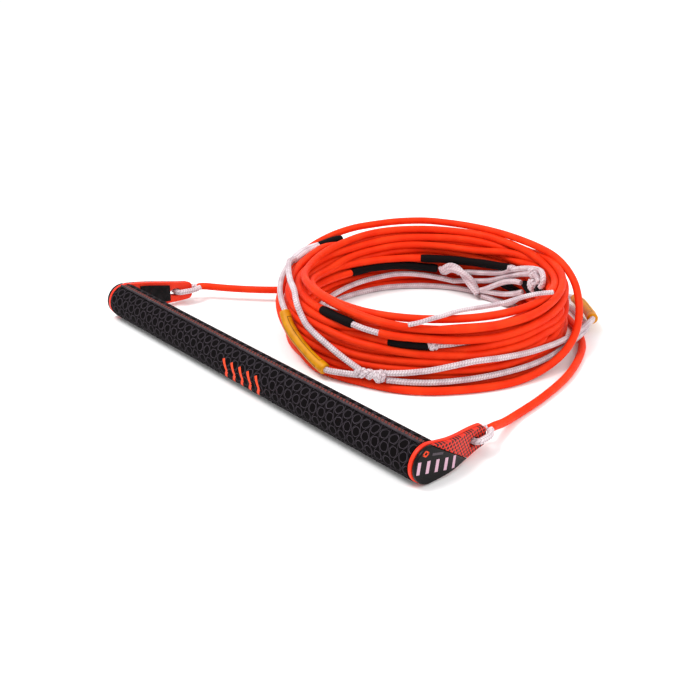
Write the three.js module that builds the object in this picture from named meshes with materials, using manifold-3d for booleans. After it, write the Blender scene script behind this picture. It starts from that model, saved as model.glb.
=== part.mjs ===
// Tow rope handle: a gripped bar with two end caps, its bridle, and the main line wound in a coil.
// Millimetres, +Z up. The origin is on the surface it lies on, under the middle of the bar.
// +X runs along the bar to the right cap, and +Y from the bar towards the coil.
import * as THREE from "three";
import { mergeVertices } from "three/addons/utils/BufferGeometryUtils.js";
import Module from "manifold-3d";

const wasm = await Module();
wasm.setup();

// ---- driving dimensions ----
const GAP = 0.3; // left between pieces that touch
const BAR_HALF = 190.5; // from the middle of the bar to a cap's inner face
const GRIP_FLAT = 15; // from the bar's axis to a facet of the grip
const GRIP_SIDES = 32;
const ROPE = 3.2; // radius of the coated rope
const BRAID = 2.4; // radius of the uncoated white braid
const SLEEVE = 3.7; // radius of a black splice sleeve
const LABEL = 4.6; // radius of a yellow label sleeve
const SPLICE = 4.2; // radius where two braids are spliced together

const COVER_BORE = 12.9;
const CORE_FLAT = 12.6;
const CORE_BORE = 11.4;
const TUBE_RADIUS = 11.1;
const TUBE_BORE = 9.8;
const FLOAT_RADIUS = 9.4;
const PLUG_SHANK = 9.5;
const PLUG_DEPTH = 25; // how far a plug's shank reaches into the tube
const PLUG_FLANGE = 3.4;
const SCREW_SHANK = 1.9;
const SCREW_BORE = 2.3;
const SCREW_REACH = 17;
const SCREW_HEAD = 4.6;
const HEAD_DEPTH = 2.2; // counterbore for the head in the cap plate

const SEAM_TILT = THREE.MathUtils.degToRad(4.5); // how far the seam leans from the top of the grip
const SEAM_FLOOR = 13.6; // from the bar's axis to the seam channel's floor
const SEAM_WIDTH = 6.6;
const PIPING = 1;

const PLATE = 3.2; // thickness of the cap plate
const SKIN = 3.3; // thickness of the badge and mesh panels on its outer face
const PAD = 1.2; // thickness of the pad on its inner face
const CAP_ROUND = 14.6; // radius of the cap's round end
const TIP = { y: 59.5, top: 15.5, bottom: 8.5, radius: 4.5 }; // the two corner arcs of the tip
const BEND = { from: 14, to: 65, inward: 9.8 }; // the cap curves inward between these y
const EYE = { y: 49.5, z: 12.5, slot: 3, radius: 3.2 }; // the slot that the bridle passes through
const SPLIT = [[-30, 49.9], [80, -22.7]]; // line in y, z that parts the badge from the mesh panel

const COIL = { x: 4, y: 180, inner: 101, outer: 121, height: 56 };

const COLOURS = {
  aluminium: [0xb4b6ba, 0.35, 1],
  foam: [0xe9e6da, 0.9, 0],
  plug: [0x26262a, 0.6, 0],
  steel: [0x9a9ca0, 0.3, 1],
  rubber: [0x151314, 0.8, 0],
  grip: [0x171516, 0.75, 0],
  piping: [0x2a2628, 0.5, 0],
  stitching: [0xc83a22, 0.8, 0],
  cap: [0xe8401c, 0.45, 0],
  badge: [0x1a1819, 0.3, 0],
  mesh: [0xd83a1e, 0.5, 0],
  rope: [0xff4a1f, 0.45, 0],
  braid: [0xe9dada, 0.8, 0],
  sleeve: [0x161314, 0.8, 0],
  label: [0xe0a000, 0.5, 0],
};

const part = new THREE.Group();
part.name = "tow_rope_handle";

// ---- shared makers ----
function closedBody(geometry) {
  let body = geometry.clone();
  body.deleteAttribute("normal");
  body.deleteAttribute("uv");
  body = mergeVertices(body, 1e-4);
  const at = body.getAttribute("position");
  const order = body.getIndex().array;
  const [a, b, c] = [new THREE.Vector3(), new THREE.Vector3(), new THREE.Vector3()];
  const kept = [];
  let volume = 0;
  for (let i = 0; i < order.length; i += 3) {
    const [p, q, r] = [order[i], order[i + 1], order[i + 2]];
    if (p === q || q === r || r === p) continue;
    kept.push(p, q, r);
    a.fromBufferAttribute(at, p);
    b.fromBufferAttribute(at, q);
    c.fromBufferAttribute(at, r);
    volume += a.dot(b.cross(c));
  }
  if (volume < 0) {
    for (let i = 0; i < kept.length; i += 3) {
      [kept[i + 1], kept[i + 2]] = [kept[i + 2], kept[i + 1]];
    }
  }
  body.setIndex(kept);
  return body;
}

function toSolid(geometry) {
  const body = closedBody(geometry);
  const vertProperties = new Float32Array(body.getAttribute("position").array);
  const triVerts = new Uint32Array(body.getIndex().array);
  return new wasm.Manifold(new wasm.Mesh({ numProp: 3, vertProperties, triVerts }));
}

function fromSolid(solid) {
  const mesh = solid.getMesh();
  const geometry = new THREE.BufferGeometry();
  geometry.setAttribute("position", new THREE.BufferAttribute(mesh.vertProperties, 3));
  geometry.setIndex(new THREE.BufferAttribute(mesh.triVerts, 1));
  return geometry;
}

function add(name, finish, geometry, parent = part) {
  const [color, roughness, metalness] = COLOURS[finish];
  const material = new THREE.MeshStandardMaterial({ color, roughness, metalness });
  const mesh = new THREE.Mesh(closedBody(geometry), material);
  mesh.name = name;
  parent.add(mesh);
  return mesh;
}

// A ring or rod turned about the bar's axis: a list of [distance along X, radius].
function turned(profile, sides = 24) {
  const points = profile.map(([along, radius]) => new THREE.Vector2(radius, along));
  points.push(points[0].clone());
  const geometry = new THREE.LatheGeometry(points, sides);
  geometry.rotateY(Math.PI / sides + Math.PI / 2);
  geometry.rotateZ(-Math.PI / 2);
  return geometry;
}

// A tube of the given bore and outside, with flats at these distances from the axis.
function prismTube(half, bore, flat, sides) {
  const outside = flat / Math.cos(Math.PI / sides);
  return turned([[-half, bore], [-half, outside], [half, outside], [half, bore]], sides);
}

function smooth(list) {
  return new THREE.CatmullRomCurve3(list.map((p) => new THREE.Vector3(...p)), false, "centripetal");
}

// A rope, braid or sleeve: a round section carried along a smooth route.
function rope(route, radius, stepLength = 5.5 * radius) {
  const curve = smooth(route);
  const sides = 8;
  const section = new THREE.Shape();
  for (let i = 0; i < sides; i += 1) {
    const turn = (2 * Math.PI * i) / sides;
    section[i ? "lineTo" : "moveTo"](radius * Math.cos(turn), radius * Math.sin(turn));
  }
  const steps = Math.max(3, Math.round(curve.getLength() / stepLength));
  return new THREE.ExtrudeGeometry(section, { steps, bevelEnabled: false, extrudePath: curve });
}

// A point beside the coil, from the angle in degrees about its centre, the radius and the height.
function around(degrees, radius, height) {
  const turn = THREE.MathUtils.degToRad(degrees);
  return [COIL.x + radius * Math.cos(turn), COIL.y + radius * Math.sin(turn), height];
}

function coilRoute(list) {
  return list.map((p) => around(...p));
}

// A knot lying along the coil: half its length, its radial depth and its height.
function knot(degrees, radius, height, half) {
  const geometry = new THREE.SphereGeometry(1, 12, 8);
  geometry.scale(half[1], half[0], half[2]);
  geometry.rotateZ(THREE.MathUtils.degToRad(degrees));
  geometry.translate(...around(degrees, radius, height));
  return geometry;
}

// ---- the bar ----
const bar = new THREE.Group();
bar.position.z = GRIP_FLAT;
part.add(bar);

const flangeEnd = BAR_HALF - GAP;
const tubeHalf = flangeEnd - PLUG_FLANGE - GAP;
const plugEnd = tubeHalf - PLUG_DEPTH;
const tubeProfile = [[-tubeHalf, TUBE_BORE], [-tubeHalf, TUBE_RADIUS], [tubeHalf, TUBE_RADIUS], [tubeHalf, TUBE_BORE]];
add("bar_tube", "aluminium", turned(tubeProfile), bar);

const floatHalf = plugEnd - GAP;
add("float_core", "foam", turned([[-floatHalf, 0], [-floatHalf, FLOAT_RADIUS], [floatHalf, FLOAT_RADIUS], [floatHalf, 0]]), bar);

add("grip_core", "rubber", prismTube(flangeEnd, CORE_BORE, CORE_FLAT, GRIP_SIDES), bar);

function seamBox(width, low, high, across, half) {
  const box = new THREE.BoxGeometry(2 * half, width, high - low);
  box.translate(0, across, (low + high) / 2);
  box.rotateX(SEAM_TILT);
  return box;
}

const cover = toSolid(prismTube(flangeEnd, COVER_BORE, GRIP_FLAT, GRIP_SIDES));
const channel = toSolid(seamBox(SEAM_WIDTH, SEAM_FLOOR, GRIP_FLAT + 2, 0, BAR_HALF + 5));
add("grip_cover", "grip", fromSolid(cover.subtract(channel)), bar);

const pipingHalf = flangeEnd - 0.5;
const piping = new THREE.CylinderGeometry(PIPING, PIPING, 2 * pipingHalf, 12);
piping.rotateZ(Math.PI / 2);
piping.translate(0, -SEAM_WIDTH / 2 + 2 * GAP + PIPING, SEAM_FLOOR + GAP + PIPING);
piping.rotateX(SEAM_TILT);
add("grip_piping", "piping", piping, bar);
add("grip_seam_strip", "stitching", seamBox(2.4, SEAM_FLOOR + GAP, SEAM_FLOOR + 1.1, 1.6, pipingHalf), bar);

// ---- the end caps ----
// The outline in y, z wraps the round end and the tip's two corner arcs. A positive inset shrinks it.
function capOutline(inset = 0) {
  const middle = { y: 0, z: GRIP_FLAT, r: CAP_ROUND - inset };
  const top = { y: TIP.y, z: TIP.top, r: TIP.radius - inset };
  const bottom = { y: TIP.y, z: TIP.bottom, r: TIP.radius - inset };
  const tangent = (from, to, side) => {
    const along = Math.atan2(to.z - from.z, to.y - from.y);
    const reach = Math.hypot(to.y - from.y, to.z - from.z);
    return along + side * Math.acos((from.r - to.r) / reach);
  };
  const upper = tangent(middle, top, 1);
  const lower = tangent(middle, bottom, -1);
  const shape = new THREE.Shape();
  shape.absarc(middle.y, middle.z, middle.r, upper, lower + 2 * Math.PI, false);
  shape.absarc(bottom.y, bottom.z, bottom.r, lower, 0, false);
  shape.absarc(top.y, top.z, top.r, 0, upper, false);
  return shape;
}

// A shape drawn in y, z, carried along X between two stations.
function prism(shape, from, to, curveSegments = 9) {
  const geometry = new THREE.ExtrudeGeometry(shape, { depth: to - from, bevelEnabled: false, curveSegments });
  const turn = new THREE.Matrix4().makeBasis(
    new THREE.Vector3(0, 1, 0),
    new THREE.Vector3(0, 0, 1),
    new THREE.Vector3(1, 0, 0),
  );
  geometry.applyMatrix4(turn);
  geometry.translate(from, 0, 0);
  return toSolid(geometry);
}

function inwardAt(y) {
  return BEND.inward * THREE.MathUtils.smoothstep(y, BEND.from, BEND.to);
}

// A curved slab between two distances from the cap's inner face, seen from above and carried in Z.
function slab(low, high) {
  const stations = [-20];
  for (let y = BEND.from; y <= BEND.to; y += 5.1) stations.push(y);
  stations.push(75);
  const shape = new THREE.Shape();
  const face = (depth, y) => [BAR_HALF + depth - inwardAt(y), y];
  stations.forEach((y, i) => shape[i ? "lineTo" : "moveTo"](...face(low, y)));
  stations.reverse().forEach((y) => shape.lineTo(...face(high, y)));
  const geometry = new THREE.ExtrudeGeometry(shape, { depth: 60, bevelEnabled: false });
  geometry.translate(0, 0, -15);
  return toSolid(geometry);
}

function slot() {
  const shape = new THREE.Shape();
  shape.absarc(EYE.y, EYE.z, EYE.radius, -Math.PI / 2, Math.PI / 2, false);
  shape.absarc(EYE.y - EYE.slot, EYE.z, EYE.radius, Math.PI / 2, 1.5 * Math.PI, false);
  return prism(shape, 150, 230, 6);
}

function rod(from, to, radius) {
  const shape = new THREE.Shape();
  shape.absarc(0, GRIP_FLAT, radius, 0, 2 * Math.PI, false);
  return prism(shape, from, to, 20);
}

function half(points) {
  const shape = new THREE.Shape(points.map(([y, z]) => new THREE.Vector2(y, z)));
  return prism(shape, 150, 230);
}

function capPieces() {
  const headSeat = BAR_HALF + PLATE - HEAD_DEPTH;
  const outline = prism(capOutline(), 150, 230);
  const skinOutline = prism(capOutline(0.5), 150, 230);
  const padOutline = prism(capOutline(2.6), 150, 230);
  const skin = slab(PLATE + GAP, PLATE + GAP + SKIN).intersect(skinOutline).subtract(slot());
  const [start, end] = SPLIT;
  const badgeSide = half([[start[0], start[1]], [-60, -60], [80, -60], [end[0], end[1]]]);
  const meshSide = half([[start[0] + GAP, start[1] + GAP], [end[0] + GAP, end[1] + GAP], [90, 90], [-20, 90]]);
  const padSide = half([[GRIP_FLAT + 0.9, -10], [42.5, -10], [42.5, 40], [GRIP_FLAT + 0.9, 40]]);
  const plate = slab(0, PLATE)
    .intersect(outline)
    .subtract(slot())
    .subtract(rod(150, 230, SCREW_BORE))
    .subtract(rod(headSeat, 230, SCREW_HEAD + 0.6));
  const shank = rod(flangeEnd - SCREW_REACH, headSeat + 1, SCREW_SHANK);
  const flange = rod(tubeHalf + GAP, flangeEnd, TUBE_RADIUS - 0.1);
  return {
    cap_plate: ["cap", plate],
    cap_badge_panel: ["badge", skin.intersect(badgeSide)],
    cap_mesh_panel: ["mesh", skin.intersect(meshSide)],
    cap_inner_pad: ["rubber", slab(-GAP - PAD, -GAP).intersect(padOutline).intersect(padSide)],
    cap_screw: ["steel", shank.add(rod(headSeat + GAP, headSeat + GAP + 1.6, SCREW_HEAD))],
    end_plug: ["plug", rod(plugEnd, tubeHalf + 1, PLUG_SHANK).add(flange).subtract(rod(flangeEnd - 20, 230, SCREW_BORE))],
  };
}

// The white eye: a braid that passes through the slot and comes back past the tip on both faces.
const EYE_END = 71.6;
const EYE_MIDDLE = 182.5;
const EYE_ROUTE = [
  [EYE_MIDDLE + BRAID + 0.15, EYE_END, 12],
  [185.1, 70.8, 12],
  [186.2, 69, 12.1],
  [188.8, 66.6, 12.2],
  [190.8, 63, 12.3],
  [191.6, 59, 12.4],
  [192.1, 55.5, 12.5],
  [192.3, 52.6, EYE.z],
  [191.3, 50.5, EYE.z],
  [189, EYE.y, EYE.z],
  [182.8, EYE.y, EYE.z],
  [180.1, 50.5, EYE.z],
  [179.1, 52.9, EYE.z],
  [178.6, 55.5, 12.5],
  [178, 59, 12.4],
  [177.7, 63, 12.3],
  [177.9, 66, 12.2],
  [178.9, 68.6, 12.1],
  [179.9, 70.6, 12],
  [EYE_MIDDLE - BRAID - 0.15, EYE_END, 12],
];

for (const [side, sign] of [["left", -1], ["right", 1]]) {
  for (const [name, [finish, solid]] of Object.entries(capPieces())) {
    const geometry = fromSolid(solid);
    geometry.scale(sign, 1, 1);
    add(`${name}_${side}`, finish, geometry);
  }
  const eye = rope(EYE_ROUTE, BRAID, 3);
  eye.scale(sign, 1, 1);
  add(`bridle_eye_${side}`, "braid", eye);
}

// ---- the bridle's two legs, from the eyes to the coil ----
const FLOOR = ROPE + 0.1; // height of a rope's centre where it lies on the ground
const LEG_LEFT = [
  [-EYE_MIDDLE, EYE_END + 2 * GAP, 12],
  [-182.3, 74.2, 12],
  [-179.6, 77.6, 12],
  [-175, 81.8, 11.7],
  [-165, 90.6, 11.2],
  [-150, 104.6, 10.8],
  [-135, 119, 11],
  [-124, 130, 11.6],
  [-114.5, 139.5, 12],
];
const LEG_RIGHT = [
  [EYE_MIDDLE, EYE_END + 2 * GAP, 12],
  [182.3, 74.2, 11.8],
  [180.3, 80, 10.4],
  [176, 94, 6.6],
  [170.5, 113, 3.9],
  [163.5, 149, FLOOR],
  [151, 193, FLOOR],
  [135, 227, FLOOR],
  [120, 250, FLOOR],
  [104, 266, FLOOR],
  [84, 279, FLOOR],
];
add("bridle_leg_left", "rope", rope(LEG_LEFT, ROPE));
add("bridle_leg_right", "rope", rope(LEG_RIGHT, ROPE));

// ---- the coil: the wound main line as one ring, and its loose outermost turn ----
const COIL_SECTION = [[104, 0], [118, 0], [121, 5], [121, 42], [116.5, 52], [112, 56], [105, 56], [101, 51], [101, 5]];
const ring = new THREE.LatheGeometry([...COIL_SECTION, COIL_SECTION[0]].map((p) => new THREE.Vector2(...p)), 48);
ring.rotateX(Math.PI / 2);
ring.translate(COIL.x, COIL.y, 0);
add("main_coil", "rope", ring);

const TOP = COIL.height + GAP + ROPE;
const OUTER_TURN = coilRoute([
  [-67, 124.9, ROPE + 0.1], [-80, 124.8, ROPE + 0.1], [-88, 124.8, 3.6], [-95, 124.8, 8.5], [-102, 124.8, 15],
  [-110, 124.8, 21.5], [-118, 124.8, 25], [-126, 124.8, 28], [-134, 124.8, 29.5], [-142, 125.5, 31],
  [-149, 127, 33.5], [-156, 129, 38], [-163, 130, 42], [-170, 130.8, 46], [-177, 130.8, 49.2], [176, 130, 52.2],
  [168, 128, 55], [161, 125.8, 57.2], [149, 126, 59], [137, 126, TOP], [126, 122, TOP], [114, 117.5, TOP],
  [100, 113.5, TOP], [86, 111.5, TOP], [73, 112.5, TOP], [62, 116, 58], [53, 121, 52.5], [46, 125.3, 46],
  [40, 127.8, 39.5], [35, 129.8, 32.5], [30, 131, 26], [24, 131.7, 19.7], [17, 131.4, 13.7], [8, 130.2, 8.5],
  [-2, 129.4, 5], [-12, 128.8, ROPE + 0.1], [-22, 128.2, ROPE], [-33, 128, ROPE], [-43, 128.6, ROPE],
  [-52, 128, ROPE], [-59, 126, ROPE], [-65.4, 124.8, ROPE],
]);
add("outer_turn", "rope", rope(OUTER_TURN, ROPE, 18));

// ---- the boat loop: a white braided loop laid round the outside of the coil ----
const WALL = COIL.outer + GAP + BRAID;
const KNOT = { at: -62, radius: 128.3, height: 12.9, half: [10, 6, 5.8] };
add("splice_sleeve_rear", "sleeve", rope(coilRoute([[176, 122.6, 49], [-177.5, 122.6, 49], [-171, 122.6, 48.7]]), SLEEVE));
add("loop_splice", "braid", rope(coilRoute([[-170.7, 123, 48.8], [-161, 123, 48.4], [-151.5, 123, 47.8]]), SPLICE));
add("boat_loop_strand_outer", "braid", rope(coilRoute([
  [-150.8, 124.6, 45.4], [-144, 124.4, 44], [-136, 124, 42], [-126, 124, 39.6], [-116, 124.6, 37],
  [-110.2, 125.8, 35.6],
]), BRAID));
add("boat_loop_strand_upper", "braid", rope(coilRoute([
  [-150.8, 121.2, 50.2], [-142, 119, 54.4], [-130, 116.6, 56.8], [-117, 117.2, 56.4], [-107, 119.5, 54],
  [-103, 122, 50.8], [-100, WALL, 47.5], [-97, WALL, 41], [-94, WALL, 35.8], [-88, WALL + 0.3, 31.2],
  [-82, WALL + 0.3, 26.4], [-76, WALL + 0.6, 21.2], [-71, WALL + 1.4, 17], [-67.6, 126.6, 14.8],
]), BRAID));
add("label_sleeve_left", "label", rope(coilRoute([
  [-109.7, 126.2, 34.5], [-104.5, 126.8, 26.5], [-98, 127, 20.4], [-90, 128.4, 14.8], [-85, 129.8, 11.6],
  [-80.5, 131, 8.9],
]), LABEL));
add("boat_loop_strand_lower", "braid", rope(coilRoute([
  [-79.9, 131.1, 8.8], [-74, 130, 9.6], [-67.4, 127.8, 10.4],
]), BRAID));
add("boat_loop_knot", "braid", knot(KNOT.at, KNOT.radius, KNOT.height, KNOT.half));
add("boat_loop_strand_high", "braid", rope(coilRoute([
  [-56.8, 126.8, 15.2], [-50, 125, 16.4], [-42, WALL, 18.6], [-34, WALL, 22], [-26, WALL, 24.4],
  [-16, WALL, 24], [-4, WALL, 22.4], [8, WALL, 20.2], [16, WALL + 0.6, 18], [24, 126.6, 16.2],
  [32, 131.5, 15.6], [40, 138, 15.4], [46.5, 143.3, 13],
]), BRAID));
add("boat_loop_strand_low", "braid", rope(coilRoute([
  [-56.8, 127.8, 10], [-50, 126.2, 9.2], [-42, 125.2, 9], [-30, WALL + 0.5, 9.8], [-17, WALL, 10.6],
  [-4, WALL, 10.6], [8, WALL, 10], [17, WALL + 0.7, 9.6], [26, 127.2, 9.7], [34, 132.5, 10.2],
  [41, 137, 9.6], [48, 139, 5.6], [56, 139.6, BRAID + 0.3], [66, 140.4, BRAID + 0.3],
]), BRAID));
add("label_sleeve_right", "label", rope(coilRoute([
  [47.2, 144, 12.4], [53, 145.4, 10.8], [60, 147.8, 8.8], [66, 150.5, 7], [72, 153.5, 5.5],
]), LABEL));
add("boat_loop_bight", "braid", rope(coilRoute([
  [72.6, 153.7, 5], [77, 154.2, 3.2], [80.6, 151.5, BRAID + 0.2], [81.2, 147, BRAID + 0.2],
  [78, 142.6, BRAID + 0.2], [72.5, 140.8, BRAID + 0.2], [66.4, 140.4, BRAID + 0.3],
]), BRAID, 6));
const TAIL = COIL.height + GAP + BRAID;
add("loop_tail", "braid", rope(coilRoute([
  [16, 114.5, TAIL], [10, 107.5, TAIL], [2, 104, TAIL], [-8, 103.8, TAIL], [-18, 103.8, TAIL], [-26, 104.2, TAIL],
  [-32, 106.5, TAIL], [-38, 112, TAIL], [-44, 117.5, 57.2],
]), BRAID));

// ---- splices, knots and braid ends on the inside and the front of the coil ----
const INSIDE = COIL.inner - GAP - SLEEVE;
const INSIDE_BRAID = COIL.inner - GAP - BRAID - 0.2;
const PROUD = COIL.outer + GAP + SLEEVE;
const KNOTS = {
  splice_knob: [83.2, 96, 36.6, [3.6, 3.4, 3.4]],
  inner_knot: [125.3, 94.8, 21, [5.8, 4.5, 4.5]],
  inner_loop_end: [53, 94.6, 32, [6.5, 4.8, 5.5]],
  front_knot: [-41.3, 126.2, 41.4, [5.4, 4.2, 4.2]],
};
for (const [name, [degrees, radius, height, halves]] of Object.entries(KNOTS)) {
  add(name, "braid", knot(degrees, radius, height, halves));
}
const SLEEVES = {
  splice_sleeve_inner_left: [[180, INSIDE, 25], [167, INSIDE, 25], [153, INSIDE, 24.4], [139, INSIDE, 22.4], [129.8, INSIDE, 21]],
  splice_sleeve_inner_rear: [[138.5, INSIDE, 30.6], [126, INSIDE, 30.6], [113, INSIDE, 31], [100, INSIDE, 32.6], [86.2, INSIDE, 35.6]],
  splice_sleeve_front: [[-57, PROUD, 43.6], [-51, PROUD, 42.6], [-45.2, PROUD, 41.6]],
  splice_sleeve_top: [[-92, 108, COIL.height + 4.1], [-82, 110, COIL.height + 4.1], [-72.6, 112, COIL.height + 4.1]],
};
for (const [name, route] of Object.entries(SLEEVES)) {
  add(name, "sleeve", rope(coilRoute(route), SLEEVE));
}
const BRAIDS = {
  inner_strand_upper: [[-150, 98.1, 8], [-161, 98.1, 9], [-171, 98.1, 10.5], [177, INSIDE_BRAID, 12.5], [165, INSIDE_BRAID, 14], [150, INSIDE_BRAID, 15.4], [135, INSIDE_BRAID, 13.2], [120, INSIDE_BRAID, 9.6]],
  inner_strand_lower: [[-152, 98, 2.7], [-164, 98, 2.7], [-176, 98.2, 2.7], [163, 98.9, 2.7], [149, 99, 2.7], [134, 99, 2.7], [120, 98.9, 2.7], [106, 98.2, 2.7]],
  inner_strand_rear: [[112, INSIDE_BRAID, 22], [98, INSIDE_BRAID, 25.4], [84, INSIDE_BRAID, 28.4], [70, INSIDE_BRAID, 31], [57.6, 97.5, 32]],
  front_strand: [[-38, 124.6, 40.8], [-33, WALL + 0.1, 40.4], [-27.5, WALL, 40]],
  top_strand: [[-72, 112.1, TAIL], [-64, 112, TAIL], [-56, 111.5, TAIL]],
};
for (const [name, route] of Object.entries(BRAIDS)) {
  add(name, "braid", rope(coilRoute(route), BRAID));
}
add("inner_hitch", "braid", rope(coilRoute([[119.2, 92.6, 19.6], [114.5, 91.4, 15.6], [109, 90.2, 9.6], [104, 89.2, 5.4]]), SPLICE, 9));

export default part;
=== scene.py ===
"""Tow rope handle: a gripped bar with two end caps, its bridle, and the main line wound in a coil.

Lengths are written in millimetres, as in the frame, and turned into metres by MM as a piece is made.
The origin is on the surface that the object lies on, +X runs along the bar and +Y towards the coil.
"""
import math

import bmesh
import bpy
import numpy as np
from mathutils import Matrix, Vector


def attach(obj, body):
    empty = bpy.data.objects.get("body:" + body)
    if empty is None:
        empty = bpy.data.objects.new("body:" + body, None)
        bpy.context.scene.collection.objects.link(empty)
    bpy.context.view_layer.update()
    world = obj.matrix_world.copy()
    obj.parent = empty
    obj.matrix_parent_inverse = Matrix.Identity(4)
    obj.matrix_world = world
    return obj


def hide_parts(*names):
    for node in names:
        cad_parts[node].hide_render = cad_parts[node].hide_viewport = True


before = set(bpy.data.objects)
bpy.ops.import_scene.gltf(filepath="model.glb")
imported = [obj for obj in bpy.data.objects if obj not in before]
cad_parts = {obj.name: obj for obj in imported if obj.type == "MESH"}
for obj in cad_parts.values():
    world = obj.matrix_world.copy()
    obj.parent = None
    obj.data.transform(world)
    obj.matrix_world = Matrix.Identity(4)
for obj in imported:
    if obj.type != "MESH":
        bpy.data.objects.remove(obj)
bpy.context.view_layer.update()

MM = 0.001
ROPE = 3.2  # radius of the coated rope
BRAID = 2.4  # radius of the white braid
SLEEVE = 3.7  # radius of a black splice sleeve
LABEL = 4.6  # radius of a yellow label sleeve
GAP = 0.3
BAR_HALF = 190.5
GRIP_RADIUS = 15.04
AXIS_HEIGHT = 15.0
COIL = np.array([4.0, 180.0])
COIL_TOP = 56


# ---- the camera ----
CAMERA_PLACE = (0.6918, -0.4921, 0.4090)


def make_camera():
    data = bpy.data.cameras.new("camera")
    data.lens = 61.99
    data.sensor_width = 36
    data.clip_start = 0.05
    data.clip_end = 50
    camera = bpy.data.objects.new("camera", data)
    camera.location = CAMERA_PLACE
    towards = Vector((-0.6944, 0.5929, -0.4077))
    camera.rotation_euler = towards.to_track_quat("-Z", "Y").to_euler()
    bpy.context.collection.objects.link(camera)
    bpy.context.scene.camera = camera


make_camera()


# ---- curves and tubes ----
def smooth(route, step):
    """Points a step apart along the centripetal Catmull-Rom curve through the route."""
    p = np.array(route, float)
    p = np.vstack([2 * p[0] - p[1], p, 2 * p[-1] - p[-2]])
    out = []
    for a, b, c, d in zip(p[:-3], p[1:-2], p[2:-1], p[3:]):
        t0 = 0.0
        t1 = t0 + max(np.linalg.norm(b - a), 1e-6) ** 0.5
        t2 = t1 + max(np.linalg.norm(c - b), 1e-6) ** 0.5
        t3 = t2 + max(np.linalg.norm(d - c), 1e-6) ** 0.5
        t = np.linspace(t1, t2, 24, endpoint=False)[:, None]
        ab = (t1 - t) / (t1 - t0) * a + (t - t0) / (t1 - t0) * b
        bc = (t2 - t) / (t2 - t1) * b + (t - t1) / (t2 - t1) * c
        cd = (t3 - t) / (t3 - t2) * c + (t - t2) / (t3 - t2) * d
        abc = (t2 - t) / (t2 - t0) * ab + (t - t0) / (t2 - t0) * bc
        bcd = (t3 - t) / (t3 - t1) * bc + (t - t1) / (t3 - t1) * cd
        out.append((t2 - t) / (t2 - t1) * abc + (t - t1) / (t2 - t1) * bcd)
    out.append(p[-2:-1])
    return spaced(np.vstack(out), step)


def spaced(points, step):
    along = np.concatenate([[0], np.cumsum(np.linalg.norm(np.diff(points, axis=0), axis=1))])
    at = np.linspace(0, along[-1], max(4, int(round(along[-1] / step)) + 1))
    return np.stack([np.interp(at, along, points[:, k]) for k in range(3)], axis=1)


def length_of(points):
    return float(np.linalg.norm(np.diff(points, axis=0), axis=1).sum())


def around(degrees, radius, height):
    """A point beside the coil, from the angle about its centre, the radius and the height."""
    turn = math.radians(degrees)
    return [COIL[0] + radius * math.cos(turn), COIL[1] + radius * math.sin(turn), height]


def coil_route(rows):
    return [around(*row) for row in rows]


def frames_along(points):
    """Two directions across the line at each point, carried along it without twisting."""
    ahead = np.gradient(points, axis=0)
    ahead /= np.linalg.norm(ahead, axis=1)[:, None]
    side = np.cross(ahead[0], [0, 0, 1.0])
    if np.linalg.norm(side) < 1e-3:
        side = np.cross(ahead[0], [0, 1.0, 0])
    sides = [side / np.linalg.norm(side)]
    for t in ahead[1:]:
        side = sides[-1] - t * np.dot(sides[-1], t)
        sides.append(side / np.linalg.norm(side))
    sides = np.array(sides)
    return ahead, sides, np.cross(sides, ahead)


def mesh_object(name, points, faces, uvs=None, material=None, soft=True):
    """A mesh from points in millimetres. uvs holds one pair for each corner of each face."""
    mesh = bpy.data.meshes.new(name)
    mesh.from_pydata([tuple(p) for p in np.asarray(points) * MM], [], [tuple(f) for f in faces])
    if uvs is not None:
        layer = mesh.uv_layers.new(name="UVMap")
        layer.data.foreach_set("uv", np.asarray(uvs, np.float32).ravel())
    mesh.polygons.foreach_set("use_smooth", [soft] * len(mesh.polygons))
    mesh.update()
    piece = bpy.data.objects.new(name, mesh)
    bpy.context.collection.objects.link(piece)
    if material:
        mesh.materials.append(material)
    return piece


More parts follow.
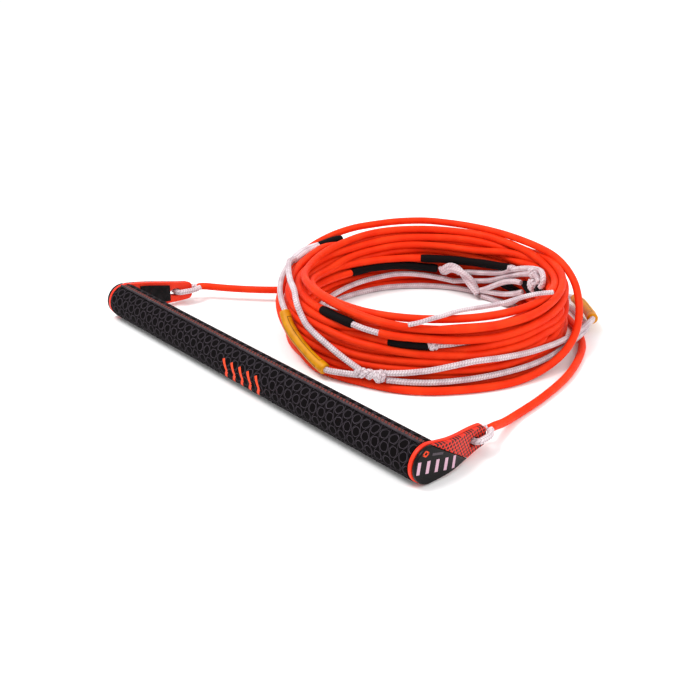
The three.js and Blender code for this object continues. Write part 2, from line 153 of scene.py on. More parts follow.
def tube(name, points, radius, sides, material, relief=None, tip=0.45):
    """A closed tube along the points, with u the distance along it and v once round it.

    relief gives the height of the surface over the radius at a distance and a fraction round.
    tip is how far each rounded end reaches past the line, in radii.
    """
    points = np.asarray(points, float)
    ahead, side, up = frames_along(points)
    count = len(points)
    along = np.concatenate([[0], np.cumsum(np.linalg.norm(np.diff(points, axis=0), axis=1))])
    turn = np.arange(sides) / sides
    size = np.broadcast_to(np.asarray(radius, float), (count,))[:, None] * np.ones((1, sides))
    if relief is not None:
        size = size + relief(along[:, None], turn[None, :])
    across = np.cos(2 * np.pi * turn), np.sin(2 * np.pi * turn)
    rings = points[:, None] + size[..., None] * (
        across[0][None, :, None] * side[:, None] + across[1][None, :, None] * up[:, None]
    )
    first, last = [], []
    for reach, share in ((0.5, 0.93), (0.85, 0.72), (1.0, 0.4)):
        shift = tip * reach * float(size[0].mean())
        first.insert(0, points[0] - ahead[0] * shift + (rings[0] - points[0]) * share)
        last.append(points[-1] + ahead[-1] * shift + (rings[-1] - points[-1]) * share)
    rings = np.concatenate([np.array(first), rings, np.array(last)])
    along = np.concatenate([along[:1] - [1.2, 0.8, 0.4], along, along[-1:] + [0.4, 0.8, 1.2]])
    total = len(rings)
    grid = np.arange(total * sides).reshape(total, sides)
    nxt = np.roll(grid, -1, axis=1)
    faces = np.stack([grid[:-1], nxt[:-1], nxt[1:], grid[1:]], axis=-1).reshape(-1, 4)
    u = np.repeat(along[:, None], sides + 1, axis=1)
    v = np.repeat(np.linspace(0, 1, sides + 1)[None, :], total, axis=0)
    corner = np.stack([u, v], axis=-1)
    uv = np.stack([corner[:-1, :-1], corner[:-1, 1:], corner[1:, 1:], corner[1:, :-1]], axis=2)
    ends = [list(grid[0][::-1]), list(grid[-1])]
    end_uv = np.concatenate([corner[0, :sides][::-1], corner[-1, :sides]])
    uvs = np.concatenate([uv.reshape(-1, 2), end_uv])
    return mesh_object(name, rings.reshape(-1, 3), [*faces.tolist(), *ends], uvs, material)


# ---- materials ----
class Nodes:
    """A procedural material, and short ways to add its nodes."""

    def __init__(self, name, colour, roughness, **sockets):
        self.material = bpy.data.materials.new(name)
        self.material.use_nodes = True
        self.tree = self.material.node_tree
        self.shader = self.tree.nodes["Principled BSDF"]
        self.set("Base Color", (*colour, 1))
        self.set("Roughness", roughness)
        for socket, value in sockets.items():
            self.set(socket.replace("_", " "), value)

    def set(self, socket, value):
        if isinstance(value, bpy.types.NodeSocket):
            self.tree.links.new(value, self.shader.inputs[socket])
        else:
            self.shader.inputs[socket].default_value = value

    def node(self, kind, *values, **options):
        made = self.tree.nodes.new(kind)
        for key, value in options.items():
            setattr(made, key, value)
        for place, value in enumerate(values):
            if isinstance(value, bpy.types.NodeSocket):
                self.tree.links.new(value, made.inputs[place])
            elif value is not None:
                made.inputs[place].default_value = value
        return made

    def math(self, operation, *values, clamp=False):
        return self.node("ShaderNodeMath", *values, operation=operation, use_clamp=clamp).outputs[0]

    def add(self, first, second):
        return self.math("ADD", first, second)

    def sub(self, first, second):
        return self.math("SUBTRACT", first, second)

    def mul(self, first, second):
        return self.math("MULTIPLY", first, second)

    def absolute(self, value):
        return self.math("ABSOLUTE", value)

    def vector(self, operation, *values):
        made = self.node("ShaderNodeVectorMath", *values, operation=operation)
        return made.outputs["Value" if operation in ("LENGTH", "DOT_PRODUCT") else "Vector"]

    def where(self, output="Object"):
        return self.node("ShaderNodeTexCoord").outputs[output]

    def split(self, vector):
        made = self.node("ShaderNodeSeparateXYZ", vector)
        return tuple(made.outputs)

    def noise(self, where, scale, detail=3.0, roughness=0.5):
        made = self.node("ShaderNodeTexNoise")
        self.tree.links.new(where, made.inputs["Vector"])
        made.inputs["Scale"].default_value = scale
        made.inputs["Detail"].default_value = detail
        made.inputs["Roughness"].default_value = roughness
        return made.outputs["Fac"]

    def step(self, value, low, high):
        """0 up to low, 1 from high on, and smooth between."""
        made = self.node("ShaderNodeMapRange", interpolation_type="SMOOTHSTEP")
        self.tree.links.new(value, made.inputs["Value"])
        made.inputs["From Min"].default_value = low
        made.inputs["From Max"].default_value = high
        return made.outputs["Result"]

    def scaled(self, value, low, high):
        made = self.node("ShaderNodeMapRange")
        self.tree.links.new(value, made.inputs["Value"])
        made.inputs["To Min"].default_value = low
        made.inputs["To Max"].default_value = high
        return made.outputs["Result"]

    def mix(self, share, first, second):
        made = self.node("ShaderNodeMix", data_type="RGBA")
        for socket, value in ((0, share), (6, first), (7, second)):
            if isinstance(value, bpy.types.NodeSocket):
                self.tree.links.new(value, made.inputs[socket])
            else:
                made.inputs[socket].default_value = (*value, 1) if socket else value
        return made.outputs[2]

    def bump(self, height, distance, strength=1.0):
        made = self.node("ShaderNodeBump")
        made.inputs["Strength"].default_value = strength
        made.inputs["Distance"].default_value = distance
        self.tree.links.new(height, made.inputs["Height"])
        self.tree.links.new(made.outputs["Normal"], self.shader.inputs["Normal"])

    def cells(self, where, pitch):
        """The place within its cell, for each of the two lattices that make staggered rows."""
        size = (pitch, pitch * math.sqrt(3), 1)
        high = tuple(s / 2 for s in size)
        low = tuple(-s / 2 for s in size)
        places = []
        for shift in ((0, 0, 0), (size[0] / 2, size[1] / 2, 0)):
            moved = self.vector("ADD", where, shift)
            places.append(self.node("ShaderNodeVectorMath", moved, high, low, operation="WRAP").outputs[0])
        return places


def linear(r, g, b):
    """A colour given in 8-bit sRGB as linear light."""
    return tuple(((c / 255 + 0.055) / 1.055) ** 2.4 if c > 10 else c / 255 / 12.92 for c in (r, g, b))


MESH_PITCH = 3.2  # between neighbouring hexagons of the mesh panel
STITCH_PITCH = 0.0034  # metres along the seam from one stitch to the next
WEAVE = 75.4  # angle that the sleeve's weave goes through in one turn round it
COLUMNS = 6  # columns of yarn round the braid
STITCH = 2.2  # length of one yarn's stitch along the braid


def rope_material():
    n = Nodes("coated_rope", linear(255, 64, 24), 0.42)
    u, v, _ = n.split(n.where("UV"))
    patch = n.noise(n.where(), 60, 2)
    grain = n.noise(n.where(), 900, 3)
    base = n.mix(n.step(patch, 0.3, 0.75), (0.74, 0.026, 0.003), (0.8, 0.042, 0.006))
    scuff = n.step(n.noise(n.where(), 260, 4, 0.6), 0.62, 0.8)
    n.set("Base Color", n.mix(n.mul(scuff, 0.25), base, (0.55, 0.018, 0.003)))
    n.set("Roughness", n.scaled(grain, 0.4, 0.6))
    n.set("Specular IOR Level", 0.08)
    lay = n.math("SINE", n.add(n.mul(u, 0.9), n.mul(v, 12.566)))
    height = n.add(n.mul(lay, 0.35), n.mul(grain, 0.6))
    n.bump(height, 0.00012, 0.6)
    return n.material


def braid_material():
    n = Nodes("white_braid", linear(236, 218, 220), 0.7)
    u, v, _ = n.split(n.where("UV"))
    fibre = n.noise(n.where(), 1400, 3)
    stain = n.noise(n.where(), 90, 3)
    across = n.math("FRACT", n.mul(v, COLUMNS))
    edge = n.absolute(n.sub(across, 0.5))
    column = n.math("FLOOR", n.mul(v, COLUMNS))
    odd = n.sub(n.mul(n.math("MODULO", column, 2), 2), 1)
    lean = n.mul(odd, n.sub(across, 0.5))
    yarn = n.math("FRACT", n.add(n.mul(u, 1 / STITCH), n.mul(lean, 0.8)))
    seam = n.absolute(n.sub(yarn, 0.5))
    # gap marks the hollows between the yarns and between the columns; the relief sinks there
    gap = n.math("MAXIMUM", n.step(seam, 0.34, 0.5), n.mul(n.step(edge, 0.36, 0.5), 0.7))
    clean = n.mix(n.step(stain, 0.35, 0.7), linear(220, 208, 212), linear(198, 178, 184))
    # painted shade: the hollows between the yarns are coloured a dark mauve grey, standing in for the shade
    # that falls into them
    n.set("Base Color", n.mix(n.mul(gap, 0.8), clean, linear(128, 88, 96)))
    n.set("Roughness", n.scaled(fibre, 0.55, 0.85))
    n.set("Sheen Weight", 0.1)
    n.set("Specular IOR Level", 0.25)
    n.bump(n.sub(n.mul(fibre, 0.5), gap), 0.00025, 0.8)
    return n.material


def sleeve_material():
    n = Nodes("black_sleeve", linear(20, 17, 18), 0.6)
    u, v, _ = n.split(n.where("UV"))
    first = n.math("SINE", n.add(n.mul(u, 4.2), n.mul(v, WEAVE)))
    second = n.math("SINE", n.sub(n.mul(u, 4.2), n.mul(v, WEAVE)))
    weave = n.mul(first, second)
    fibre = n.noise(n.where(), 1300, 3)
    n.set("Base Color", n.mix(n.step(weave, -0.6, 0.9), linear(7, 6, 7), linear(19, 15, 17)))
    n.set("Roughness", n.scaled(fibre, 0.5, 0.8))
    n.set("Specular IOR Level", 0.06)
    n.bump(n.add(weave, n.mul(fibre, 0.4)), 0.00014, 0.7)
    return n.material


def label_material(length):
    """Yellow printed sleeve with a thin black border, drawn by distance along and round it."""
    n = Nodes(f"label_sleeve_{round(length)}", linear(232, 160, 0), 0.45)
    u, v, _ = n.split(n.where("UV"))
    crease = n.noise(n.where(), 150, 4, 0.6)
    lines = []
    for offset in (0.0, 0.5):
        turn = n.math("FRACT", n.add(v, offset + 0.12))
        from_side = n.sub(n.absolute(n.sub(turn, 0.5)), 0.14)
        side = n.mul(n.absolute(from_side), 2 * math.pi * LABEL)
        middle = n.absolute(n.sub(u, length / 2))
        past = n.sub(middle, length / 2 - 7)
        end = n.absolute(past)
        on_side = n.mul(n.math("LESS_THAN", side, 0.28), n.math("LESS_THAN", past, 0.28))
        on_end = n.mul(n.math("LESS_THAN", end, 0.28), n.math("LESS_THAN", from_side, 0.01))
        lines.append(n.math("MAXIMUM", on_side, on_end))
    line = n.math("MAXIMUM", *lines)
    worn = n.mix(n.step(crease, 0.3, 0.7), linear(196, 126, 0), linear(216, 146, 2))
    n.set("Specular IOR Level", 0.2)
    n.set("Base Color", n.mix(n.mul(line, 0.85), worn, linear(40, 28, 8)))
    n.set("Roughness", n.scaled(crease, 0.35, 0.6))
    n.bump(crease, 0.0005, 0.5)
    return n.material


def grip_material():
    """Black foam printed with a staggered lattice of rings and the slanted lines between them."""
    pitch, ring_radius = 9.5, 3.4
    n = Nodes("grip_cover", linear(14, 11, 12), 0.75)
    uv = n.where("UV")
    wobble = n.node("ShaderNodeTexNoise")
    n.tree.links.new(uv, wobble.inputs["Vector"])
    wobble.inputs["Scale"].default_value = 0.3
    wobble.inputs["Detail"].default_value = 1.5
    centred = n.vector("SUBTRACT", wobble.outputs["Color"], (0.5, 0.5, 0.5))
    shift = n.vector("MULTIPLY", centred, (1.6, 1.6, 0))
    where = n.vector("ADD", uv, shift)
    reach = [n.vector("LENGTH", n.vector("MULTIPLY", cell, (1, 1, 0))) for cell in n.cells(where, pitch)]
    near = n.math("MINIMUM", *reach)
    a, b, _ = n.split(where)
    row = pitch * math.sqrt(3) / 2
    slants = []
    for lean in (0.5, -0.5):
        across = n.add(n.mul(a, math.sqrt(3) / 2), n.mul(b, lean))
        slants.append(n.absolute(n.math("WRAP", n.add(across, row / 2), row / 2, -row / 2)))
    ring = n.sub(1.0, n.step(n.absolute(n.sub(near, ring_radius)), 0.12, 0.34))
    link = n.sub(1.0, n.step(n.math("MINIMUM", *slants), 0.1, 0.3))
    link = n.mul(n.mul(link, n.step(near, ring_radius, ring_radius + 0.2)), 0.75)
    pattern = n.math("MAXIMUM", ring, link)
    grain = n.noise(n.where(), 2200, 2)
    foam = n.noise(n.where(), 500, 4, 0.6)
    ground = n.mix(foam, linear(8, 6, 7), linear(15, 12, 13))
    n.set("Base Color", n.mix(n.mul(pattern, 0.9), ground, linear(66, 60, 66)))
    n.set("Roughness", n.scaled(foam, 0.65, 0.9))
    n.set("Specular IOR Level", 0.03)
    height = n.add(n.mul(pattern, -1.0), n.mul(grain, 0.35))
    n.bump(height, 0.0002, 0.6)
    return n.material


def soft_black_material(name, low, high, roughness):
    n = Nodes(name, linear(*low), roughness)
    grain = n.noise(n.where(), 1500, 4, 0.6)
    wear = n.noise(n.where(), 180, 3)
    n.set("Base Color", n.mix(n.step(wear, 0.35, 0.75), linear(*low), linear(*high)))
    n.set("Roughness", n.scaled(grain, roughness - 0.12, roughness + 0.12))
    n.set("Specular IOR Level", 0.1)
    n.bump(grain, 0.00012, 0.5)
    return n.material


def stitch_material():
    """Red thread in slanted stitches along the bar, on dark tape."""
    n = Nodes("seam_stitching", linear(150, 40, 28), 0.7)
    x, y, _ = n.split(n.where())
    wave = n.math("FRACT", n.add(n.mul(x, 1 / STITCH_PITCH), n.mul(y, 180.0)))
    thread = n.mul(n.step(n.absolute(n.sub(wave, 0.5)), 0.1, 0.2), 0.9)
    fibre = n.noise(n.where(), 2500, 2)
    n.set("Base Color", n.mix(thread, linear(13, 9, 10), linear(112, 36, 28)))
    n.set("Roughness", n.scaled(fibre, 0.6, 0.85))
    n.bump(n.add(thread, n.mul(fibre, 0.4)), 0.0003, 0.8)
    return n.material


def cap_material():
    n = Nodes("cap_plastic", linear(236, 62, 28), 0.38)
    grain = n.noise(n.where(), 1700, 3)
    flow = n.noise(n.where(), 70, 3)
    n.set("Base Color", n.mix(n.step(flow, 0.3, 0.75), linear(222, 40, 16), linear(236, 54, 20)))
    n.set("Roughness", n.scaled(grain, 0.32, 0.5))
    n.set("Specular IOR Level", 0.2)
    n.bump(grain, 0.00006, 0.5)
    return n.material


def mesh_panel_material():
    """Red panel with staggered rows of small black hexagons, drawn from y and z in millimetres."""
    n = Nodes("cap_mesh", linear(226, 56, 32), 0.4)
    cells = n.cells(n.where("UV"), MESH_PITCH)
    reach = []
    for cell in cells:
        a, b, _ = n.split(n.vector("ABSOLUTE", cell))
        slanted = n.add(n.mul(a, 0.5), n.mul(b, 0.866))
        reach.append(n.math("MAXIMUM", a, slanted))
    near = n.math("MINIMUM", *reach)
    dot = n.sub(1.0, n.step(near, 0.98, 1.06))
    flow = n.noise(n.where(), 90, 3)
    grain = n.noise(n.where(), 1700, 3)
    red = n.mix(flow, linear(196, 34, 20), linear(220, 48, 26))
    n.set("Base Color", n.mix(dot, red, linear(30, 14, 15)))
    n.set("Roughness", n.scaled(grain, 0.34, 0.55))
    n.set("Specular IOR Level", 0.2)
    n.bump(n.add(n.mul(dot, -1.0), n.mul(grain, 0.1)), 0.0003, 0.8)
    return n.material


def badge_material():
    n = Nodes("cap_badge", linear(24, 21, 22), 0.22)
    haze = n.noise(n.where(), 240, 4, 0.6)
    scratch = n.noise(n.vector("MULTIPLY", n.where(), (1.0, 1.0, 9.0)), 700, 2)
    n.set("Base Color", n.mix(haze, linear(9, 7, 8), linear(17, 14, 15)))
    n.set("Roughness", n.scaled(scratch, 0.16, 0.36))
    n.set("Specular IOR Level", 0.12)
    n.bump(scratch, 0.00003, 0.4)
    return n.material


def metal_material(name, colour, roughness):
    n = Nodes(name, linear(*colour), roughness, Metallic=1.0)
    brushed = n.noise(n.vector("MULTIPLY", n.where(), (0.05, 1.0, 1.0)), 1800, 3)
    n.set("Base Color", n.mix(brushed, linear(*colour), tuple(0.75 * c for c in linear(*colour))))
    n.set("Roughness", n.scaled(brushed, roughness - 0.08, roughness + 0.15))
    n.bump(brushed, 0.00004, 0.4)
    return n.material


def foam_material():
    n = Nodes("float_foam", linear(226, 222, 206), 0.9)
    beads = n.node("ShaderNodeTexVoronoi")
    n.tree.links.new(n.where(), beads.inputs["Vector"])
    beads.inputs["Scale"].default_value = 500
    n.set("Base Color", n.mix(beads.outputs["Distance"], linear(232, 228, 214), linear(196, 190, 170)))
    n.bump(beads.outputs["Distance"], 0.0004, 0.8)
    return n.material


def print_material(name, colour):
    n = Nodes(name, linear(*colour), 0.55)
    worn = n.noise(n.where(), 1100, 4, 0.65)
    base = linear(*colour)
    n.set("Base Color", n.mix(n.step(worn, 0.5, 0.8), base, tuple(0.72 * c for c in base)))
    n.set("Roughness", n.scaled(worn, 0.45, 0.7))
    n.set("Specular IOR Level", 0.15)
    n.bump(worn, 0.00005, 0.5)
    return n.material


ROPE_FINISH = rope_material()
BRAID_FINISH = braid_material()
SLEEVE_FINISH = sleeve_material()


# ---- the plait of the braid and the weave of the sleeve, as real relief ----
def plait(along, turn):
    """Columns of slanted yarns, each leaning against its neighbours."""
    column = turn * COLUMNS
    across = column - np.floor(column) - 0.5
    lean = (2 * (np.floor(column).astype(int) % 2) - 1) * across * 0.8
    yarn = np.abs(np.cos(np.pi * (along / STITCH + lean)))
    ridge = np.cos(np.pi * across * 0.9)
    return 0.42 * (ridge * (0.3 + 0.7 * yarn) - 0.62)


def woven(along, turn):
    return 0.08 * np.sin(2.1 * along + WEAVE * turn) * np.sin(2.1 * along - WEAVE * turn)


def braid(name, points, radius=BRAID, step=0.55):
    return tube(name, spaced(np.asarray(points, float), step), radius, 32, BRAID_FINISH, plait)


def sleeve(name, points, radius=SLEEVE):
    line = spaced(np.asarray(points, float), 1.0)
    reach = np.linspace(0, length_of(line), len(line))
    taper = np.minimum(reach, reach[-1] - reach)
    size = radius - 0.35 * np.exp(-taper / 1.6) + 0.12 * np.sin(reach / 4.3)
    return tube(name, line, size, 36, SLEEVE_FINISH, woven, tip=0.25)


def twisted(name, route, strand, offset, pitch, phase=0.0):
    """Two braids laid round each other along a route, as one piece."""
    line = smooth(route, 0.6)
    _, side, up = frames_along(line)
    reach = np.linspace(0, length_of(line), len(line))
    parts = []
    for turn in (0, math.pi):
        angle = 2 * math.pi * reach / pitch + turn + phase
        path = line + offset * (np.cos(angle)[:, None] * side + np.sin(angle)[:, None] * up)
        parts.append(braid(name, path, strand))
    return joined(name, parts)


def joined(name, parts):
    """Several meshes as one piece."""
    made = bmesh.new()
    for part in parts:
        made.from_mesh(part.data)
    mesh = bpy.data.meshes.new(name)
    made.to_mesh(mesh)
    made.free()
    for material in parts[0].data.materials:
        mesh.materials.append(material)
    for part in parts:
        bpy.data.objects.remove(part)
    piece = bpy.data.objects.new(name, mesh)
    bpy.context.collection.objects.link(piece)
    mesh.polygons.foreach_set("use_smooth", [True] * len(mesh.polygons))
    return piece


def wrap_knot(name, degrees, radius, height, halves, turns=2.6, strand=2.0):
    """A knot: braid wrapped round the line and tucked back across its own turns."""
    centre = np.array(around(degrees, radius, height))
    turn = math.radians(degrees)
    out = np.array([math.cos(turn), math.sin(turn), 0])
    along = np.array([-math.sin(turn), math.cos(turn), 0])
    rise = np.array([0, 0, 1.0])
    long, deep, tall = halves
    t = np.linspace(0, 1, 90)
    angle = 2 * math.pi * turns * t
    swell = np.sin(np.pi * (0.12 + 0.76 * t))
    wrap = centre + (
        along * ((2 * t - 1) * (long - strand))[:, None]
        + out * (np.cos(angle) * (deep - strand) * swell)[:, None]
        + rise * (np.sin(angle) * (tall - strand) * swell)[:, None]
    )
    back = centre + (
        along * ((1 - 2 * t) * (long - 0.9 * strand))[:, None]
        + out * (np.cos(1.7 * np.pi * t + 2.2) * (deep - 0.8 * strand))[:, None]
        + rise * (np.sin(1.7 * np.pi * t + 2.2) * (tall - 0.9 * strand))[:, None]
    )
    parts = [braid(name, wrap, strand), braid(name, back, 0.86 * strand)]
    return joined(name, parts)


# ---- the wound main line ----
TURNS = 24
BINS = 120  # places round the coil
SPACING = 6.45
SECTION = {"inner": 104.4, "outer": 117.9, "floor": ROPE + 0.05}

START = 98  # degrees, where the winding starts and ends

# The last turns, in the order they were laid. Each row is an angle, a radius and a height.
GUIDES = [
    [
        (98, 113, 46), (130, 114, 48), (160, 115, 47.5), (180, 113, 46), (197, 115, 38), (215, 116, 35),
        (240, 116.5, 37), (263, 117.5, 38), (279, 117.9, 35), (289, 117.9, 33), (305, 117.9, 29.5),
        (322, 117.9, 27), (345, 117.9, 27), (373, 117.9, 28), (392, 117.9, 29), (420, 117, 33),
        (440, 112, 40),
    ],
    [
        (98, 108, 49), (129, 105, 49), (166, 105, 46), (181, 106, 42), (193, 107, 39), (210, 107.5, 38),
        (228, 107, 40), (243, 107, 44), (258, 110, 45), (272, 113.5, 45.2), (284, 117.5, 45),
        (304, 117.9, 42.4), (318, 117.9, 41.5), (332, 117.9, 40), (347, 117.9, 37.3),
        (360, 117.9, 37.4), (373, 117.9, 38.8), (388, 117.9, 41), (405, 117.9, 43.5), (422, 115, 45),
        (440, 108, 43),
    ],
    [
        (98, 104.4, 41.6), (115, 104.2, 38), (134, 104, 40.5), (166, 104, 38.8), (178, 103, 35.8),
        (190, 99.5, 32), (202, 94, 34), (214, 89.5, 39.5), (234, 89, 47), (248, 92.5, 52),
        (262, 97, 55), (285, 104, 54.6), (318, 104.5, 54.6), (333, 104.5, 54.2), (350, 106, 53.5),
        (365, 108, 53), (380, 109, 53), (396, 108.5, 51.5), (406, 108, 49), (421, 107, 47.8),
        (440, 109, 50),
    ],
    [
        (98, 110, 51.8), (116, 110, 54), (134, 110.5, 55.4), (159, 112, 55.2), (174, 110, 51.5),
        (186, 107, 48.6), (198, 103, 46), (212, 98, 47), (228, 97, 51.5), (248, 101, 58),
        (266, 107.5, 59), (284, 114.5, 56.5), (297, 117, 51.8), (314, 117.9, 48.5), (332, 117.9, 49),
        (350, 117.5, 47), (372, 117.6, 49), (383, 117, 52.8), (400, 114, 54.6), (419, 112.5, 52.6),
        (432, 112, 50), (446, 113, 46), (458, 113, 43),
    ],
]


def wandering(rng, count, spacing, size):
    """A smooth random line: knots a spacing apart with a cubic through them."""
    knots = rng.uniform(-1, 1, int(count / spacing) + 5)
    at = np.arange(count) / spacing
    low = np.floor(at).astype(int)
    part = at - low
    a, b, c, d = (knots[low + k] for k in range(4))
    cubic = 3 * (b - c) + d - a
    square = 2 * a - 5 * b + 4 * c - d
    return size * (b + 0.5 * part * (c - a + part * (square + part * cubic)))


ROUNDS = 520  # rounds of settling
SETTLED = 420  # from this round on, the guides hold only lightly
FALLING = 400  # up to this round, the rope sinks fast
MEAN_RADIUS = 111
DRIFT = 0.01  # share of the way back to the mean radius in a round
STRAIGHTENING = 0.32  # share of the way to the middle of its neighbours
PUSHING = 0.42  # share of an overlap that each of two turns gives way
LARGEST_MOVE = 1.5


def wind_main_line():
    """Radius and height at each place of the winding, settled under its own weight."""
    rng = np.random.default_rng(11)
    total = TURNS * BINS
    radius = MEAN_RADIUS + wandering(rng, total, BINS * 0.42, 8.5)
    height = np.linspace(4, 50, total) + wandering(rng, total, BINS * 0.55, 5.0)
    held = np.zeros(total)
    rows = [(angle + 360 * turn, *spot) for turn, laid in enumerate(GUIDES) for angle, *spot in laid]
    angles, radii, heights = (np.array(column, float) for column in zip(*rows))
    guided = len(GUIDES) * BINS
    degrees = START + np.arange(guided) * 360 / BINS
    radius[-guided:] = np.interp(degrees, angles, radii)
    height[-guided:] = np.interp(degrees, angles, heights)
    held[-guided:] = 1
    line = np.stack([radius, height], axis=1)
    guide = line.copy()
    pairs = np.triu_indices(TURNS, 1)
    for settling in range(ROUNDS):
        firmness = 0.10 if settling < SETTLED else 0.02
        line[:, 1] -= 0.05 if settling < FALLING else 0.01
        line[:, 0] += DRIFT * (MEAN_RADIUS - line[:, 0])
        line += (held * firmness)[:, None] * (guide - line)
        for _ in range(2):
            line[1:-1] += STRAIGHTENING * (0.5 * (line[:-2] + line[2:]) - line[1:-1])
        free = held == 0
        line[free, 0] = np.clip(line[free, 0], SECTION["inner"], SECTION["outer"])
        stack = line.reshape(TURNS, BINS, 2)
        apart = stack[pairs[0]] - stack[pairs[1]]
        distance = np.linalg.norm(apart, axis=2)
        push = np.clip(SPACING - distance, 0, None) / np.maximum(distance, 1e-3) * PUSHING
        move = apart * push[..., None]
        shift = np.zeros_like(stack)
        np.add.at(shift, pairs[0], move)
        np.add.at(shift, pairs[1], -move)
        line += np.clip(shift.reshape(-1, 2), -LARGEST_MOVE, LARGEST_MOVE)
        line[:, 1] = np.maximum(line[:, 1], SECTION["floor"])
        line[:, 0] = np.minimum(line[:, 0], SECTION["outer"] + 0.2)
    return line


WINDING = wind_main_line()


def place_of(turn, degrees):
    return turn * BINS + int(round(((degrees - START) % 360) * BINS / 360)) % BINS


def winding_points(first, last):
    """The winding's centreline between two places, in millimetres."""
    places = np.arange(first, last + 1)
    angle = np.radians(START + places * 360 / BINS)
    radius, height = WINDING[first:last + 1].T
    return np.stack([COIL[0] + radius * np.cos(angle), COIL[1] + radius * np.sin(angle), height], axis=1)


def host_turn(degrees, radius, height, turns):
    """The turn that passes nearest to a point of the section at that angle."""

    def miss(turn):
        at = WINDING[place_of(turn, degrees)]
        return math.hypot(at[0] - radius, at[1] - height)

    return min(turns, key=miss)


def on_rope(piece, slot, *nodes):
    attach(piece, "rope")
    if nodes:
        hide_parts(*nodes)
    return piece


FREE = range(2, TURNS - 4)
TOP_HOST = TURNS - 3
FRONT_HOST = host_turn(309, 117, 36, FREE)
REAR_HOST = host_turn(205, 104.4, 33, [t for t in FREE if t != FRONT_HOST])
LEFT_HOST = host_turn(220, 104.4, 26, [t for t in FREE if t not in (FRONT_HOST, REAR_HOST)])

INSIDE = 97.0
LEADS = {
    "rear": [(139.5, INSIDE, 30.8), (150, INSIDE, 31), (162, INSIDE + 0.6, 31.2), (175, 98.6, 31.6),
             (188, 101, 32.2)],
    "left": [(181, INSIDE, 25), (190, INSIDE + 0.8, 25.2), (200, 99.4, 25.6), (210, 102, 26)],
}


def main_line():
    """The main line's sections, each from a splice sleeve to the next one."""
    cuts = [
        (TOP_HOST, 268, 300, None),
        (FRONT_HOST, 303, 336, None),
        (REAR_HOST, 196, 204, "rear"),
        (LEFT_HOST, 214, 222, "left"),
    ]
    cuts.sort(key=lambda cut: place_of(cut[0], cut[1]))
    begin, lead, sections = 0, None, []
    for turn, low, high, name in cuts:
        sections.append((begin, place_of(turn, low), lead))
        begin, lead = place_of(turn, high), name
    sections.append((begin, TURNS * BINS - 1, lead))
    made = []
    for first, last, lead in sections:
        points = winding_points(first, last)
        if lead:
            points = np.vstack([coil_route(LEADS[lead]), points])
        made.append(smooth(points, 2.6))
    return made


SECTIONS = main_line()
for number, points in enumerate(SECTIONS, 1):
    piece = on_rope(tube(f"main_line_section_{number}", points, ROPE, 16, ROPE_FINISH), "rope", "main_coil")


def host_points(host, low, high):
    return smooth(winding_points(place_of(host, low), place_of(host, high)), 1.0)


top_sleeve = on_rope(
    sleeve("splice_sleeve_upper", host_points(TOP_HOST, 268, 288)), "sleeve", "splice_sleeve_top")
top_braid = host_points(TOP_HOST, 283, 300)
piece = on_rope(braid("upper_strand", top_braid), "braid", "top_strand")

front_sleeve = on_rope(
    sleeve("front_splice_sleeve", host_points(FRONT_HOST, 303, 316)), "sleeve", "splice_sleeve_front")
front_braid = host_points(FRONT_HOST, 312, 336)
piece = on_rope(braid("front_splice_strand", front_braid), "braid", "front_strand")
middle = WINDING[place_of(FRONT_HOST, 319)]
front_knot = on_rope(
    wrap_knot("front_splice_knot", 319, middle[0] + 0.6, middle[1], (5.4, 4.2, 4.2), 2.2, 1.7),
    "braid", "front_knot")

# ---- the bridle ----
EYE_MIDDLE, EYE_END, EYE_Y, EYE_Z = 182.5, 71.6, 49.5, 12.5
EYE_ROUTE = [
    (EYE_MIDDLE + BRAID + 0.15, EYE_END, 12), (185.1, 70.8, 12), (186.2, 69, 12.1), (188.8, 66.6, 12.2),
    (190.8, 63, 12.3), (191.6, 59, 12.4), (192.1, 55.5, 12.5), (192.3, 52.6, EYE_Z),
    (191.3, 50.5, EYE_Z), (189, EYE_Y, EYE_Z), (182.8, EYE_Y, EYE_Z), (180.1, 50.5, EYE_Z),
    (179.1, 52.9, EYE_Z), (178.6, 55.5, 12.5), (178, 59, 12.4), (177.7, 63, 12.3), (177.9, 66, 12.2),
    (178.9, 68.6, 12.1), (179.9, 70.6, 12), (EYE_MIDDLE - BRAID - 0.15, EYE_END, 12),
]
FLOOR = ROPE + 0.1
LEG_LEFT = [
    (-EYE_MIDDLE, EYE_END + 0.6, 12), (-182.3, 74.2, 12), (-179.6, 77.6, 12), (-175, 81.8, 11.7),
    (-165, 90.6, 11.2), (-150, 104.6, 10.8), (-135, 119, 11), (-124, 130, 11.6), (-114.5, 139.5, 12),
]
LEG_RIGHT = [
    (EYE_MIDDLE, EYE_END + 0.6, 12), (182.3, 74.2, 11.8), (180.3, 80, 10.4), (176, 94, 6.6),
    (170.5, 113, 3.9), (163.5, 149, FLOOR), (151, 193, FLOOR), (135, 227, FLOOR), (120, 250, FLOOR),
    (104, 266, FLOOR), (86, 279.5, FLOOR), (67, 290.5, FLOOR), (48, 298.5, FLOOR),
]
for side, sign, route in (("left", -1, LEG_LEFT), ("right", 1, LEG_RIGHT)):
    eye_line = smooth([(sign * x, y, z) for x, y, z in EYE_ROUTE], 0.55)
    eye = on_rope(braid(f"eye_{side}", eye_line), "braid", f"bridle_eye_{side}")
    leg_line = smooth(route, 2.4)
    leg = on_rope(tube(f"leg_{side}", leg_line, ROPE, 20, ROPE_FINISH), "rope", f"bridle_leg_{side}")

